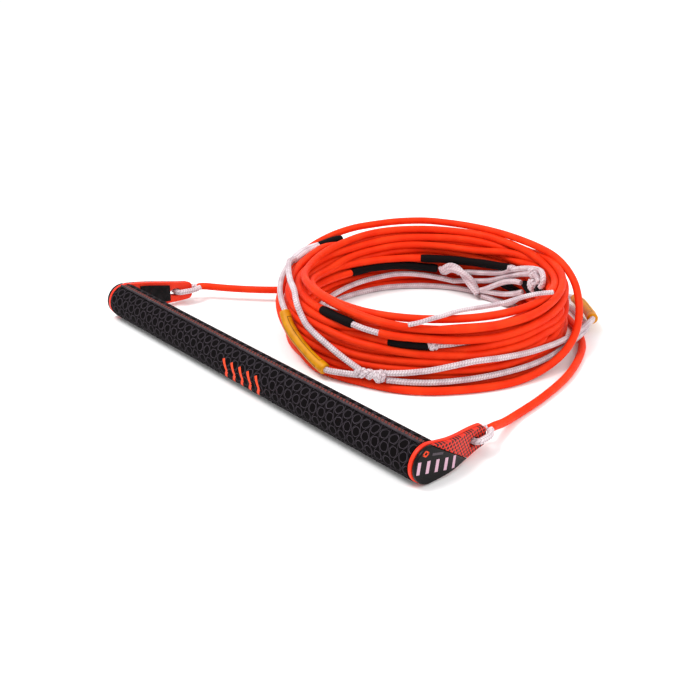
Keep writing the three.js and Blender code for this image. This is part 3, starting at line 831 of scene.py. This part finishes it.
# ---- the loose outermost turn ----
OUTER_TURN = coil_route([
    (-66.2, 124.85, ROPE + 0.08), (-73, 124.9, ROPE + 0.1), (-80, 124.8, ROPE + 0.1), (-88, 124.8, 3.6),
    (-95, 124.8, 8.5), (-102, 124.8, 15), (-110, 124.8, 21.5), (-118, 124.8, 25), (-126, 124.8, 28),
    (-134, 124.8, 29.5), (-142, 125.5, 31), (-149, 127, 33.5), (-156, 129, 38), (-163, 130, 42),
    (-170, 130.8, 46), (-177, 130.8, 49.2), (-184, 130, 52.2), (-192, 128, 55), (-199, 125.8, 56.4),
    (-211, 125.4, 57.6), (-223, 125, 58), (-234, 121.4, 58), (-246, 117.2, 58.2), (-260, 113.5, 58.4),
    (-274, 111.5, 58.6), (-287, 112.5, 58.6), (-298, 116, 57.4), (-307, 121, 52.5), (-314, 125.3, 46),
    (-320, 127.8, 39.5), (-325, 129.8, 32.5), (-330, 131, 26), (-336, 131.7, 19.7), (-343, 131.4, 13.7),
    (-352, 130.2, 8.5), (-362, 129.4, 5), (-372, 128.8, ROPE + 0.1), (-382, 128.2, ROPE + 0.05),
    (-393, 128, ROPE + 0.05), (-403, 128.6, ROPE + 0.05), (-412, 128, ROPE + 0.05),
    (-419, 126.4, ROPE + 0.05), (-426.2, 124.85, ROPE + 0.08),
])
line = smooth(OUTER_TURN, 2.4)
turn_piece = on_rope(tube("loose_turn", line, ROPE, 20, ROPE_FINISH, tip=0.0), "rope", "outer_turn")

# ---- the boat loop ----
WALL = 121 + GAP + BRAID


def label(name, rows, node):
    line = smooth(coil_route(rows), 1.2)
    rng = np.random.default_rng(len(name))
    reach = np.linspace(0, 1, len(line))
    size = LABEL - 0.12 + 0.12 * np.sin(9 * reach + rng.uniform(0, 6))

    def creased(along, turn):
        return 0.10 * np.sin(2 * np.pi * (2 * turn + 0.02 * along)) + 0.06 * np.sin(along / 1.9 + 12.6 * turn)

    piece = tube(name, line, size, 40, label_material(length_of(line)), creased, tip=0.12)
    return on_rope(piece, "label", node)


rear_line = smooth(coil_route([(176, 122.6, 49), (-177.5, 122.6, 49), (-171, 122.6, 48.7)]), 1)
rear_sleeve = on_rope(sleeve("loop_splice_sleeve", rear_line), "sleeve", "splice_sleeve_rear")
splice_line = smooth(coil_route([(-170.7, 123, 48.8), (-161, 123, 48.4), (-151.5, 123, 47.8)]), 0.6)
swell = np.sin(np.pi * np.linspace(0.08, 0.92, len(splice_line))) ** 0.7
splice = on_rope(
    tube("loop_splice_strands", splice_line, BRAID + 2.2 * swell, 32, BRAID_FINISH, plait),
    "braid", "loop_splice")
label_left = label("label_left", [
    (-109.7, 126.2, 34.5), (-104.5, 126.8, 26.5), (-98, 127, 20.4), (-90, 128.4, 14.8),
    (-85, 129.8, 11.6), (-80.5, 131, 8.9),
], "label_sleeve_left")
label_right = label("label_right", [
    (47.2, 143.4, 12.4), (53, 144, 11.2), (60, 145.6, 9.6), (66, 148.2, 7.8), (72, 151.5, 6),
], "label_sleeve_right")
KNOT_LAY = [(-68, 127.4, 12.4), (-64, 128.2, 12.8), (-60, 128.4, 12.9)]
loop_knot = on_rope(joined("loop_knot", [
    twisted("knot_lay", coil_route(KNOT_LAY), 2.3, 2.0, 13),
    wrap_knot("knot_wrap", -59.4, 128.6, 12.8, (5.6, 5.6, 5.6), 2.2, 2.1),
]), "braid", "boat_loop_knot")

NEAR_STRAND = [
    (-150.8, 124.6, 45.4), (-144, 124.4, 44), (-136, 124, 42), (-126, 124, 39.6), (-116, 124.6, 37),
    (-110.2, 125.8, 35.6), (-104.5, 126.8, 26.5), (-98, 127, 20.4), (-90, 128.4, 14.8),
    (-85, 129.8, 11.6), (-80.5, 131, 8.9), (-74, 130, 9.6), (-67.4, 127.8, 10.4),
]
UPPER_STRAND = [
    (-150.8, 121.2, 50.2), (-142, 119, 54.4), (-130, 116.6, 56.8), (-117, 117.2, 56.4),
    (-107, 119.5, 54), (-103, 122, 50.8), (-100, WALL, 47.5), (-97, WALL, 41), (-94, WALL, 35.8),
    (-88, WALL + 0.3, 31.2), (-82, WALL + 0.3, 26.4), (-76, WALL + 0.6, 21.2), (-71, WALL + 1.4, 17),
    (-67.6, 126.6, 14.8),
]
FAR_STRAND = [
    (-56.8, 126.8, 15.2), (-50, 125, 16.4), (-42, WALL, 18.6), (-34, WALL, 22), (-26, WALL, 24.4),
    (-16, WALL, 24), (-4, WALL, 22.4), (8, WALL, 20.2), (16, WALL + 0.6, 18), (24, 126.6, 16.2),
    (32, 131.5, 15.6), (40, 138, 15.4), (46.5, 142.9, 12.8), (53, 144, 11.2), (60, 145.6, 9.6),
    (66, 148.2, 7.8), (72.6, 151.8, 5.6), (77, 153, 3.4), (80.6, 151, BRAID + 0.2),
    (81.2, 147, BRAID + 0.2), (78, 142.6, BRAID + 0.2), (72.5, 140.8, BRAID + 0.2),
    (66.4, 140.4, BRAID + 0.3),
]
LOW_STRAND = [
    (-56.8, 127.8, 10), (-50, 126.2, 9.2), (-42, 125.2, 9), (-30, WALL + 0.5, 9.8), (-17, WALL, 10.6),
    (-4, WALL, 10.6), (8, WALL, 10), (17, WALL + 0.7, 9.6), (26, 127.2, 9.7), (34, 132.5, 10.2),
    (41, 137, 9.6), (48, 139, 5.6), (56, 139.6, BRAID + 0.3), (66, 140.4, BRAID + 0.3),
]
LOOP = [
    ("loop_near_strand", NEAR_STRAND, ["boat_loop_strand_outer", "boat_loop_strand_lower"],
     [rear_sleeve, splice, label_left]),
    ("loop_upper_strand", UPPER_STRAND, ["boat_loop_strand_upper"], []),
    ("loop_far_strand", FAR_STRAND, ["boat_loop_strand_high", "boat_loop_bight"], [label_right, loop_knot]),
    ("loop_low_strand", LOW_STRAND, ["boat_loop_strand_low"], []),
]
for name, rows, nodes, extras in LOOP:
    line = smooth(coil_route(rows), 0.6)
    piece = on_rope(braid(name, line), "braid", *nodes)

TAIL = COIL_TOP + GAP + BRAID + 0.9
line = smooth(coil_route([
    (16, 116, TAIL), (12, 109.5, TAIL), (7, 105, TAIL), (1, 103, TAIL), (-8, 103, TAIL),
    (-18, 102.6, TAIL), (-26, 103.2, TAIL), (-32, 106.5, TAIL), (-37, 112.5, TAIL), (-42, 117, 58.6),
    (-46, 119.6, 56.6), (-50, 120, 54.4),
]), 0.6)
piece = on_rope(braid("tail_strand", line, 1.9), "braid", "loop_tail")

# ---- splices, knots and braid ends on the inside of the coil ----
INSIDE_BRAID = 101 - GAP - BRAID - 0.2
sleeve_left = on_rope(sleeve("left_section_sleeve", smooth(coil_route([
    (180, INSIDE, 25), (167, INSIDE, 25), (153, INSIDE, 24.4), (139, INSIDE, 22.4), (129.8, INSIDE, 21),
]), 1)), "sleeve", "splice_sleeve_inner_left")
sleeve_rear = on_rope(sleeve("rear_section_sleeve", smooth(coil_route([
    (138.5, INSIDE, 30.6), (126, INSIDE, 30.6), (113, INSIDE, 31), (100, INSIDE, 32.6),
    (86.2, INSIDE, 35.6),
]), 1)), "sleeve", "splice_sleeve_inner_rear")
knob = on_rope(
    wrap_knot("rear_splice_knob", 83.2, 96, 36.6, (3.6, 3.6, 3.6), 1.6, 1.7), "braid", "splice_knob")
inner = on_rope(
    wrap_knot("inner_splice_knot", 125.3, 94.8, 21, (5.8, 4.6, 4.6), 2.2, 2.0), "braid", "inner_knot")
loop_end = on_rope(joined("inner_loop_knot", [
    wrap_knot("low_wrap", 56.5, 94.4, 36, (6.5, 4.8, 6.2), 2.2, 2.2),
    wrap_knot("high_wrap", 60, 96.2, 44.6, (8.5, 4.4, 5.4), 1.6, 2.2),
]), "braid", "inner_loop_end")
HITCH = [
    (125.5, 92.5, 20.5), (121.5, 90.5, 25.3), (116, 89.5, 23.8), (111, 89, 18.5), (106.5, 88.5, 12),
    (103.5, 88.3, 6),
]
HITCH_ENDS = [
    [(103, 91.5, 7.5), (98, 91, 11.5), (93, 90, 16.5), (84, 90, 24.5), (76, 91, 29), (71, 92, 30.5)],
    [(102, 91.5, 7.8), (93, 91.5, 9.5), (84, 91.5, 12.5), (75, 92, 18), (70, 93, 22)],
    [(101, 91, 3.2), (94, 91.5, 2.6), (85, 91.8, 2.6), (78, 92, 8.3), (73, 92.5, 14.5)],
]
hitch_parts = [twisted("hitch", coil_route(HITCH), 2.9, 1.6, 46, 0.8)]
hitch_parts += [braid("end", smooth(coil_route(rows), 0.6)) for rows in HITCH_ENDS]
hitch = on_rope(joined("inner_hitch_strands", hitch_parts), "braid", "inner_hitch")
END_SLEEVES = [
    [(91, 97, 18.6), (84, 97, 17.6), (77, 97, 17.4)],
    [(72, 96.4, 29), (68, 96.4, 27), (64.5, 96.4, 24.5)],
    [(50, 97, 38.5), (53, 97.2, 35), (56, 97.2, 31.5)],
]
end_sleeves = [
    on_rope(sleeve(f"inner_end_sleeve_{k}", smooth(coil_route(rows), 1), 3.3), "sleeve")
    for k, rows in enumerate(END_SLEEVES, 1)
]
INNER = [
    ("inner_braid_upper", [
        (-150, 98.1, 8), (-161, 98.1, 9), (-171, INSIDE_BRAID, 10.5), (-183, INSIDE_BRAID, 12.5),
        (-195, INSIDE_BRAID, 14), (-210, INSIDE_BRAID, 15.4), (-225, INSIDE_BRAID, 13.2),
        (-240, INSIDE_BRAID, 9.6),
    ], "inner_strand_upper", [sleeve_left, inner, hitch]),
    ("inner_braid_lower", [
        (-152, 98, 2.7), (-164, 98, 2.7), (-176, 98.2, 2.7), (-197, 98.9, 2.7), (-211, 99, 2.7),
        (-226, 99, 2.7), (-240, 98.9, 2.7), (-254, 98.2, 2.7),
    ], "inner_strand_lower", []),
    ("inner_braid_rear", [
        (118, 96.5, 19), (112, 96.5, 21), (105, 96.5, 22.8), (92, 96.5, 28), (84, 95.4, 34.5),
        (77, 96, 39.5), (67, 97, 45.5), (58, 98.5, 49.5), (51, 99, 50.5), (47, 99, 47.5),
        (46.5, 98.5, 43.5), (49, 97.5, 40),
    ], "inner_strand_rear", [sleeve_rear, knob, loop_end]),
    ("inner_braid_double", [
        (119.6, 97.6, 10), (115, 96.4, 11.8), (108, 96, 13.8), (98, 96, 18), (88, 96, 26), (80, 96, 32),
        (71, 95.6, 38), (62, 95.4, 43), (54, 95.6, 45.6), (49.5, 96, 44),
    ], None, end_sleeves),
]
for name, rows, node, extras in INNER:
    line = smooth(coil_route(rows), 0.6)
    piece = on_rope(braid(name, line), "braid", *([node] if node else []))


# ---- the grip ----
SEAM_MIDDLE = 94.5  # degrees about the bar's axis, from +Y towards +Z
SEAM_HALF = 3.3
SEAM_FLOOR = 13.6


def grip():
    """The cover: a foam sleeve with a channel along its top where its edges meet."""
    half_angle = math.degrees(math.asin(SEAM_HALF / GRIP_RADIUS))
    start = SEAM_MIDDLE + half_angle
    section = []
    for share in np.linspace(0, 1, 109):
        angle = math.radians(start + share * (360 - 2 * half_angle))
        lip = min(share, 1 - share) * 2 * math.pi * GRIP_RADIUS
        radius = GRIP_RADIUS - 0.45 * math.exp(-lip / 0.5)
        section.append((radius * math.cos(angle), radius * math.sin(angle), math.degrees(angle)))
    tilt = math.radians(SEAM_MIDDLE)
    out = np.array([math.cos(tilt), math.sin(tilt)])
    left = np.array([math.sin(tilt), -math.cos(tilt)])
    for across in np.linspace(-1, 1, 7):
        spot = out * SEAM_FLOOR + left * SEAM_HALF * across * 0.97
        section.append((*spot, SEAM_MIDDLE + 360 - half_angle * across))
    bore = 12.95
    stations = np.linspace(-BAR_HALF + GAP, BAR_HALF - GAP, 150)
    outline = np.array(section)
    count = len(outline)
    points, faces, uvs = [], [], []
    edge = np.minimum(stations - stations[0], stations[-1] - stations)
    shrink = 1 - 0.012 * np.exp(-edge / 0.8)
    for x, size in zip(stations, shrink):
        for y, z, _ in outline:
            points.append((x, y * size, AXIS_HEIGHT + z * size))
    around_grip = np.radians(outline[:, 2]) * GRIP_RADIUS
    for i in range(len(stations) - 1):
        for j in range(count):
            k = (j + 1) % count
            faces.append((i * count + j, i * count + k, (i + 1) * count + k, (i + 1) * count + j))
            v0, v1 = around_grip[j], around_grip[k] if k else around_grip[0] + 2 * math.pi * GRIP_RADIUS
            uvs += [(stations[i], v0), (stations[i], v1), (stations[i + 1], v1), (stations[i + 1], v0)]
    inner = len(points)
    for x in (stations[0], stations[-1]):
        for y, z, _ in outline:
            angle = math.atan2(z, y)
            points.append((x, bore * math.cos(angle), AXIS_HEIGHT + bore * math.sin(angle)))
    last = (len(stations) - 1) * count
    for j in range(count):
        k = (j + 1) % count
        faces.append((j, inner + j, inner + k, k))
        faces.append((last + j, last + k, inner + count + k, inner + count + j))
        faces.append((inner + j, inner + count + j, inner + count + k, inner + k))
        uvs += [(0, 0)] * 12
    piece = mesh_object("grip_sleeve", points, faces, uvs, grip_material())
    piece.data.set_sharp_from_angle(angle=math.radians(40))
    return piece


def on_handle(piece, slot, *nodes):
    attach(piece, "handle")
    if nodes:
        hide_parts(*nodes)
    return piece


on_handle(grip(), "grip", "grip_cover")


def seam_point(across, height):
    """A point of the seam channel, from its middle and from the bar's axis, in y and z."""
    tilt = math.radians(SEAM_MIDDLE)
    return (
        height * math.cos(tilt) + across * math.sin(tilt),
        AXIS_HEIGHT + height * math.sin(tilt) - across * math.cos(tilt),
    )


piping_y, piping_z = seam_point(-SEAM_HALF + 1.6, SEAM_FLOOR + GAP + 1)
piping_line = np.array([[x, piping_y, piping_z] for x in np.linspace(-189.7, 189.7, 300)])
PIPING_FINISH = soft_black_material("piping", (44, 38, 43), (64, 57, 62), 0.4)
piping = tube("seam_piping", piping_line, 1.0, 16, PIPING_FINISH,
              lambda along, turn: 0.05 * np.sin(along * 1.9 + 6.28 * turn), tip=0.2)
on_handle(piping, "piping", "grip_piping")


def stitched_strip():
    """A tape in the channel with a row of slanted thread stitches standing on it."""
    base, top = SEAM_FLOOR + GAP, SEAM_FLOOR + 0.75
    xs = np.linspace(-189.5, 189.5, 2)
    corners = [seam_point(0.45, base), seam_point(2.75, base), seam_point(2.75, top), seam_point(0.45, top)]
    points = [(x, y, z) for x in xs for y, z in corners]
    faces = [(0, 1, 2, 3), (7, 6, 5, 4)] + [(j, j + 4, (j + 1) % 4 + 4, (j + 1) % 4) for j in range(4)]
    for x in np.arange(-187, 187, 3.3):
        start = np.array([x - 0.7, *seam_point(1.1, top + 0.1)])
        end = np.array([x + 1.0, *seam_point(2.0, top + 0.1)])
        direction = (end - start) / np.linalg.norm(end - start)
        side = np.cross(direction, [0, 0, 1.0]) * 0.2
        for part, rise in ((0.0, 0.0), (0.5, 0.30), (1.0, 0.0)):
            spot = start + (end - start) * part + np.array([0, 0, rise])
            points += [tuple(spot - side), tuple(spot + np.array([0, 0, 0.24])), tuple(spot + side)]
        at = len(points) - 9
        for k in (0, 3):
            faces += [
                (at + k, at + k + 3, at + k + 4, at + k + 1),
                (at + k + 1, at + k + 4, at + k + 5, at + k + 2),
                (at + k + 2, at + k + 5, at + k + 3, at + k),
            ]
        faces += [(at, at + 1, at + 2), (at + 8, at + 7, at + 6)]
    return mesh_object("seam_stitches", points, faces, None, stitch_material(), soft=False)


on_handle(stitched_strip(), "stitching", "grip_seam_strip")


# ---- the end caps ----
TIP = {"y": 59.5, "top": 15.5, "bottom": 8.5, "radius": 4.5}
CAP_ROUND = 14.6
PLATE, SKIN, PAD = 3.2, 3.3, 1.2


def inward_at(y):
    part = min(max((y - 14) / 51, 0), 1)
    return 9.8 * part * part * (3 - 2 * part)


def arc(y, z, radius, first, last, count):
    angles = np.linspace(first, last, count)
    return [(y + radius * math.cos(a), z + radius * math.sin(a)) for a in angles]


def cap_outline(inset=0.0):
    """The cap's side view in y and z: a round end and a tip with two corner arcs."""
    middle = (0.0, AXIS_HEIGHT, CAP_ROUND - inset)
    top = (TIP["y"], TIP["top"], TIP["radius"] - inset)
    bottom = (TIP["y"], TIP["bottom"], TIP["radius"] - inset)

    def tangent(a, b, side):
        along = math.atan2(b[1] - a[1], b[0] - a[0])
        return along + side * math.acos((a[2] - b[2]) / math.hypot(b[0] - a[0], b[1] - a[1]))

    upper, lower = tangent(middle, top, 1), tangent(middle, bottom, -1)
    return (
        arc(*middle, upper, lower + 2 * math.pi, 64)
        + arc(*bottom, lower, 0, 14)
        + arc(*top, 0, upper, 14)
    )


def slot_outline(grow=0.0):
    y, z, radius, reach = EYE_Y, EYE_Z, 3.2 + grow, 3.0
    outer = arc(y, z, radius, -math.pi / 2, math.pi / 2, 16)
    return outer + arc(y - reach, z, radius, math.pi / 2, 1.5 * math.pi, 16)


def clipped(outline, point, normal):
    """The part of a convex outline on the inner side of a line."""
    out = []
    for a, b in zip(outline, outline[1:] + outline[:1]):
        da = (a[0] - point[0]) * normal[0] + (a[1] - point[1]) * normal[1]
        db = (b[0] - point[0]) * normal[0] + (b[1] - point[1]) * normal[1]
        if da <= 0:
            out.append(a)
        if da * db < 0:
            share = da / (da - db)
            out.append((a[0] + share * (b[0] - a[0]), a[1] + share * (b[1] - a[1])))
    return out


def slab(name, outline, holes, low, high, bevel, sign, material, slot, *nodes):
    """A plate of that outline in y and z, bevelled, between two distances out from the bar's end."""
    curve = bpy.data.curves.new(name, "CURVE")
    curve.dimensions = "2D"
    curve.fill_mode = "BOTH"
    curve.extrude = (high - low) / 2 - bevel
    curve.bevel_depth = bevel
    curve.bevel_resolution = 3
    curve.offset = -bevel
    for loop in [outline, *holes]:
        spline = curve.splines.new("POLY")
        spline.points.add(len(loop) - 1)
        for place, (y, z) in zip(spline.points, loop):
            place.co = (y, z, 0, 1)
        spline.use_cyclic_u = True
    holder = bpy.data.objects.new(name, curve)
    bpy.context.collection.objects.link(holder)
    bpy.context.view_layer.update()
    mesh = bpy.data.meshes.new_from_object(holder)
    bpy.data.objects.remove(holder)
    made = bmesh.new()
    made.from_mesh(mesh)
    bmesh.ops.remove_doubles(made, verts=made.verts, dist=0.002)
    for y in np.arange(14, 66, 3.0):
        everything = made.verts[:] + made.edges[:] + made.faces[:]
        bmesh.ops.bisect_plane(made, geom=everything, plane_co=(y, 0, 0), plane_no=(1, 0, 0), dist=1e-4)
    middle = (low + high) / 2
    layer = made.loops.layers.uv.verify()
    for face in made.faces:
        for loop in face.loops:
            loop[layer].uv = (loop.vert.co.x, loop.vert.co.y)
    for vert in made.verts:
        y, z, depth = vert.co
        vert.co = (sign * (BAR_HALF + middle + depth - inward_at(y)) * MM, y * MM, z * MM)
    if sign < 0:
        bmesh.ops.reverse_faces(made, faces=made.faces)
    bmesh.ops.recalc_face_normals(made, faces=made.faces)
    made.to_mesh(mesh)
    made.free()
    mesh.materials.clear()
    mesh.materials.append(material)
    mesh.polygons.foreach_set("use_smooth", [True] * len(mesh.polygons))
    mesh.set_sharp_from_angle(angle=math.radians(38))
    piece = bpy.data.objects.new(name, mesh)
    bpy.context.collection.objects.link(piece)
    return on_handle(piece, slot, *nodes)


CAP_FINISH, MESH_FINISH, BADGE_FINISH = cap_material(), mesh_panel_material(), badge_material()
PAD_FINISH = soft_black_material("cap_pad", (15, 13, 14), (30, 26, 28), 0.6)
SPLIT_POINT = (-30.0, 49.9)
SPLIT_ALONG = np.array([110.0, -72.6]) / math.hypot(110.0, 72.6)
SPLIT_NORMAL = np.array([-SPLIT_ALONG[1], SPLIT_ALONG[0]])
for side, sign in (("left", -1), ("right", 1)):
    skin = cap_outline(0.5)
    slab(f"cap_shell_{side}", cap_outline(), [slot_outline()], 0, PLATE, 0.6, sign, CAP_FINISH, "cap",
         f"cap_plate_{side}")
    badge = clipped(skin, SPLIT_POINT, tuple(SPLIT_NORMAL))
    net = clipped(skin, tuple(np.array(SPLIT_POINT) + SPLIT_NORMAL * GAP), tuple(-SPLIT_NORMAL))
    low, high = PLATE + GAP, PLATE + GAP + SKIN
    slab(f"badge_{side}", badge, [], low, high, 0.9, sign, BADGE_FINISH, "badge", f"cap_badge_panel_{side}")
    slab(f"mesh_skin_{side}", net, [slot_outline(0.1)], low, high, 0.35, sign, MESH_FINISH, "mesh",
         f"cap_mesh_panel_{side}")
    pad = clipped(clipped(cap_outline(2.6), (42.5, 0), (1.0, 0.0)), (AXIS_HEIGHT + 0.9, 0), (-1.0, 0.0))
    slab(f"inner_pad_{side}", pad, [], -GAP - PAD, -GAP, 0.4, sign, PAD_FINISH, "rubber",
         f"cap_inner_pad_{side}")

# ---- the printed marks: plain strokes on the grip and the badges ----
def strokes(name, lines, width, place, material):
    """Flat strokes of one width, each drawn between two points of the surface that place() maps."""
    points, faces = [], []
    for start, end in lines:
        start, end = np.array(start, float), np.array(end, float)
        run = (end - start) / np.linalg.norm(end - start)
        side = np.array([-run[1], run[0]]) * width / 2
        first = len(points)
        for share in np.linspace(0, 1, 9):
            spot = start + (end - start) * share
            for edge, lift in ((-side, -0.1), (side, -0.1), (side, 0.1), (-side, 0.1)):
                points.append(place(*(spot + edge), lift))
        for k in range(8):
            at = first + 4 * k
            faces += [(at + j, at + (j + 1) % 4, at + (j + 1) % 4 + 4, at + j + 4) for j in range(4)]
        faces += [(first + 3, first + 2, first + 1, first), tuple(range(first + 32, first + 36))]
    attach(mesh_object(name, points, faces, None, material, soft=False), "handle")


def on_grip(x, degrees_away, lift):
    turn, reach = degrees_away / GRIP_RADIUS, GRIP_RADIUS + lift
    return (x, reach * math.cos(turn), AXIS_HEIGHT + reach * math.sin(turn))


ORANGE_PRINT = print_material("orange_print", (232, 70, 34))
PALE_PRINT = print_material("pale_print", (200, 160, 178))
GREY_PRINT = print_material("grey_print", (74, 66, 72))
top_edge, low_edge = (GRIP_RADIUS * math.radians(turn) for turn in (154, 220))
chevrons = []
for x in (-17, -6.6, 3.8, 14.2, 24.6):
    tip = (x + 3, (top_edge + low_edge) / 2)
    chevrons += [((x - 2.6, top_edge), tip), (tip, (x - 2.6, low_edge))]
strokes("grip_mark", chevrons, 2.6, on_grip, ORANGE_PRINT)

BARS = [((-11.5 + 8.4 * k, 11.6 - 1.75 * k), (-9.9 + 8.4 * k, 20.6 - 1.75 * k)) for k in range(5)]
DIAMOND = [((-7, 25), (-4.4, 27)), ((-4.4, 27), (-1.8, 25)), ((-1.8, 25), (-4.4, 23)), ((-4.4, 23), (-7, 25))]
for side, sign in (("left", -1), ("right", 1)):
    def on_badge(y, z, lift, sign=sign):
        return (sign * (BAR_HALF + PLATE + GAP + SKIN + lift - inward_at(y)), y, z)

    strokes(f"badge_bars_{side}", BARS, 2.9, on_badge, PALE_PRINT)
    strokes(f"badge_diamond_{side}", DIAMOND, 1.1, on_badge, ORANGE_PRINT)
    strokes(f"badge_stripe_{side}", [((1.5, 22.6), (11.5, 20.2))], 1.8, on_badge, GREY_PRINT)

# ---- the hidden core, from the frame, with its own finishes ----
CORE = {
    "bar_tube": metal_material("drawn_aluminium", (190, 192, 196), 0.35),
    "float_core": foam_material(),
    "grip_core": soft_black_material("core_rubber", (20, 18, 18), (34, 30, 31), 0.7),
    "end_plug_left": soft_black_material("plug_plastic", (38, 38, 42), (56, 56, 60), 0.5),
    "cap_screw_left": metal_material("screw_steel", (168, 170, 174), 0.3),
}
CORE["end_plug_right"] = CORE["end_plug_left"]
CORE["cap_screw_right"] = CORE["cap_screw_left"]
for node, finish in CORE.items():
    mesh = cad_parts[node].data
    mesh.materials.clear()
    mesh.materials.append(finish)


# ---- the floor and the lights ----
def make_floor():
    points = [(-4000, -4000, -0.05), (4000, -4000, -0.05), (4000, 4000, -0.05), (-4000, 4000, -0.05)]
    n = Nodes("studio_floor", (0.95, 0.95, 0.95), 0.9)
    paper = n.noise(n.where(), 30, 2)
    n.set("Base Color", n.mix(paper, (0.94, 0.94, 0.94), (0.96, 0.96, 0.96)))
    floor = mesh_object("floor", points, [(0, 1, 2, 3)], None, n.material, soft=False)


def make_light(name, place, target, size, power):
    data = bpy.data.lights.new(name, "AREA")
    data.shape = "DISK"
    data.size = size
    data.energy = power
    lamp = bpy.data.objects.new(name, data)
    lamp.location = place
    lamp.rotation_euler = (Vector(target) - Vector(place)).to_track_quat("-Z", "Y").to_euler()
    bpy.context.collection.objects.link(lamp)


MIDDLE = (0, 0.15, 0)  # where both lights point
WORLD_STRENGTH = 0.95


def make_studio():
    make_floor()
    world = bpy.data.worlds.new("studio")
    world.use_nodes = True
    background = world.node_tree.nodes["Background"].inputs
    background["Color"].default_value = (1, 1, 1, 1)
    background["Strength"].default_value = WORLD_STRENGTH
    bpy.context.scene.world = world
    make_light("key", (-0.5, -0.6, 1.7), MIDDLE, size=0.9, power=24)
    make_light("fill", (1.6, 0.6, 1.2), MIDDLE, size=1.2, power=12)
    bpy.context.scene.view_settings.view_transform = "Standard"


make_studio()
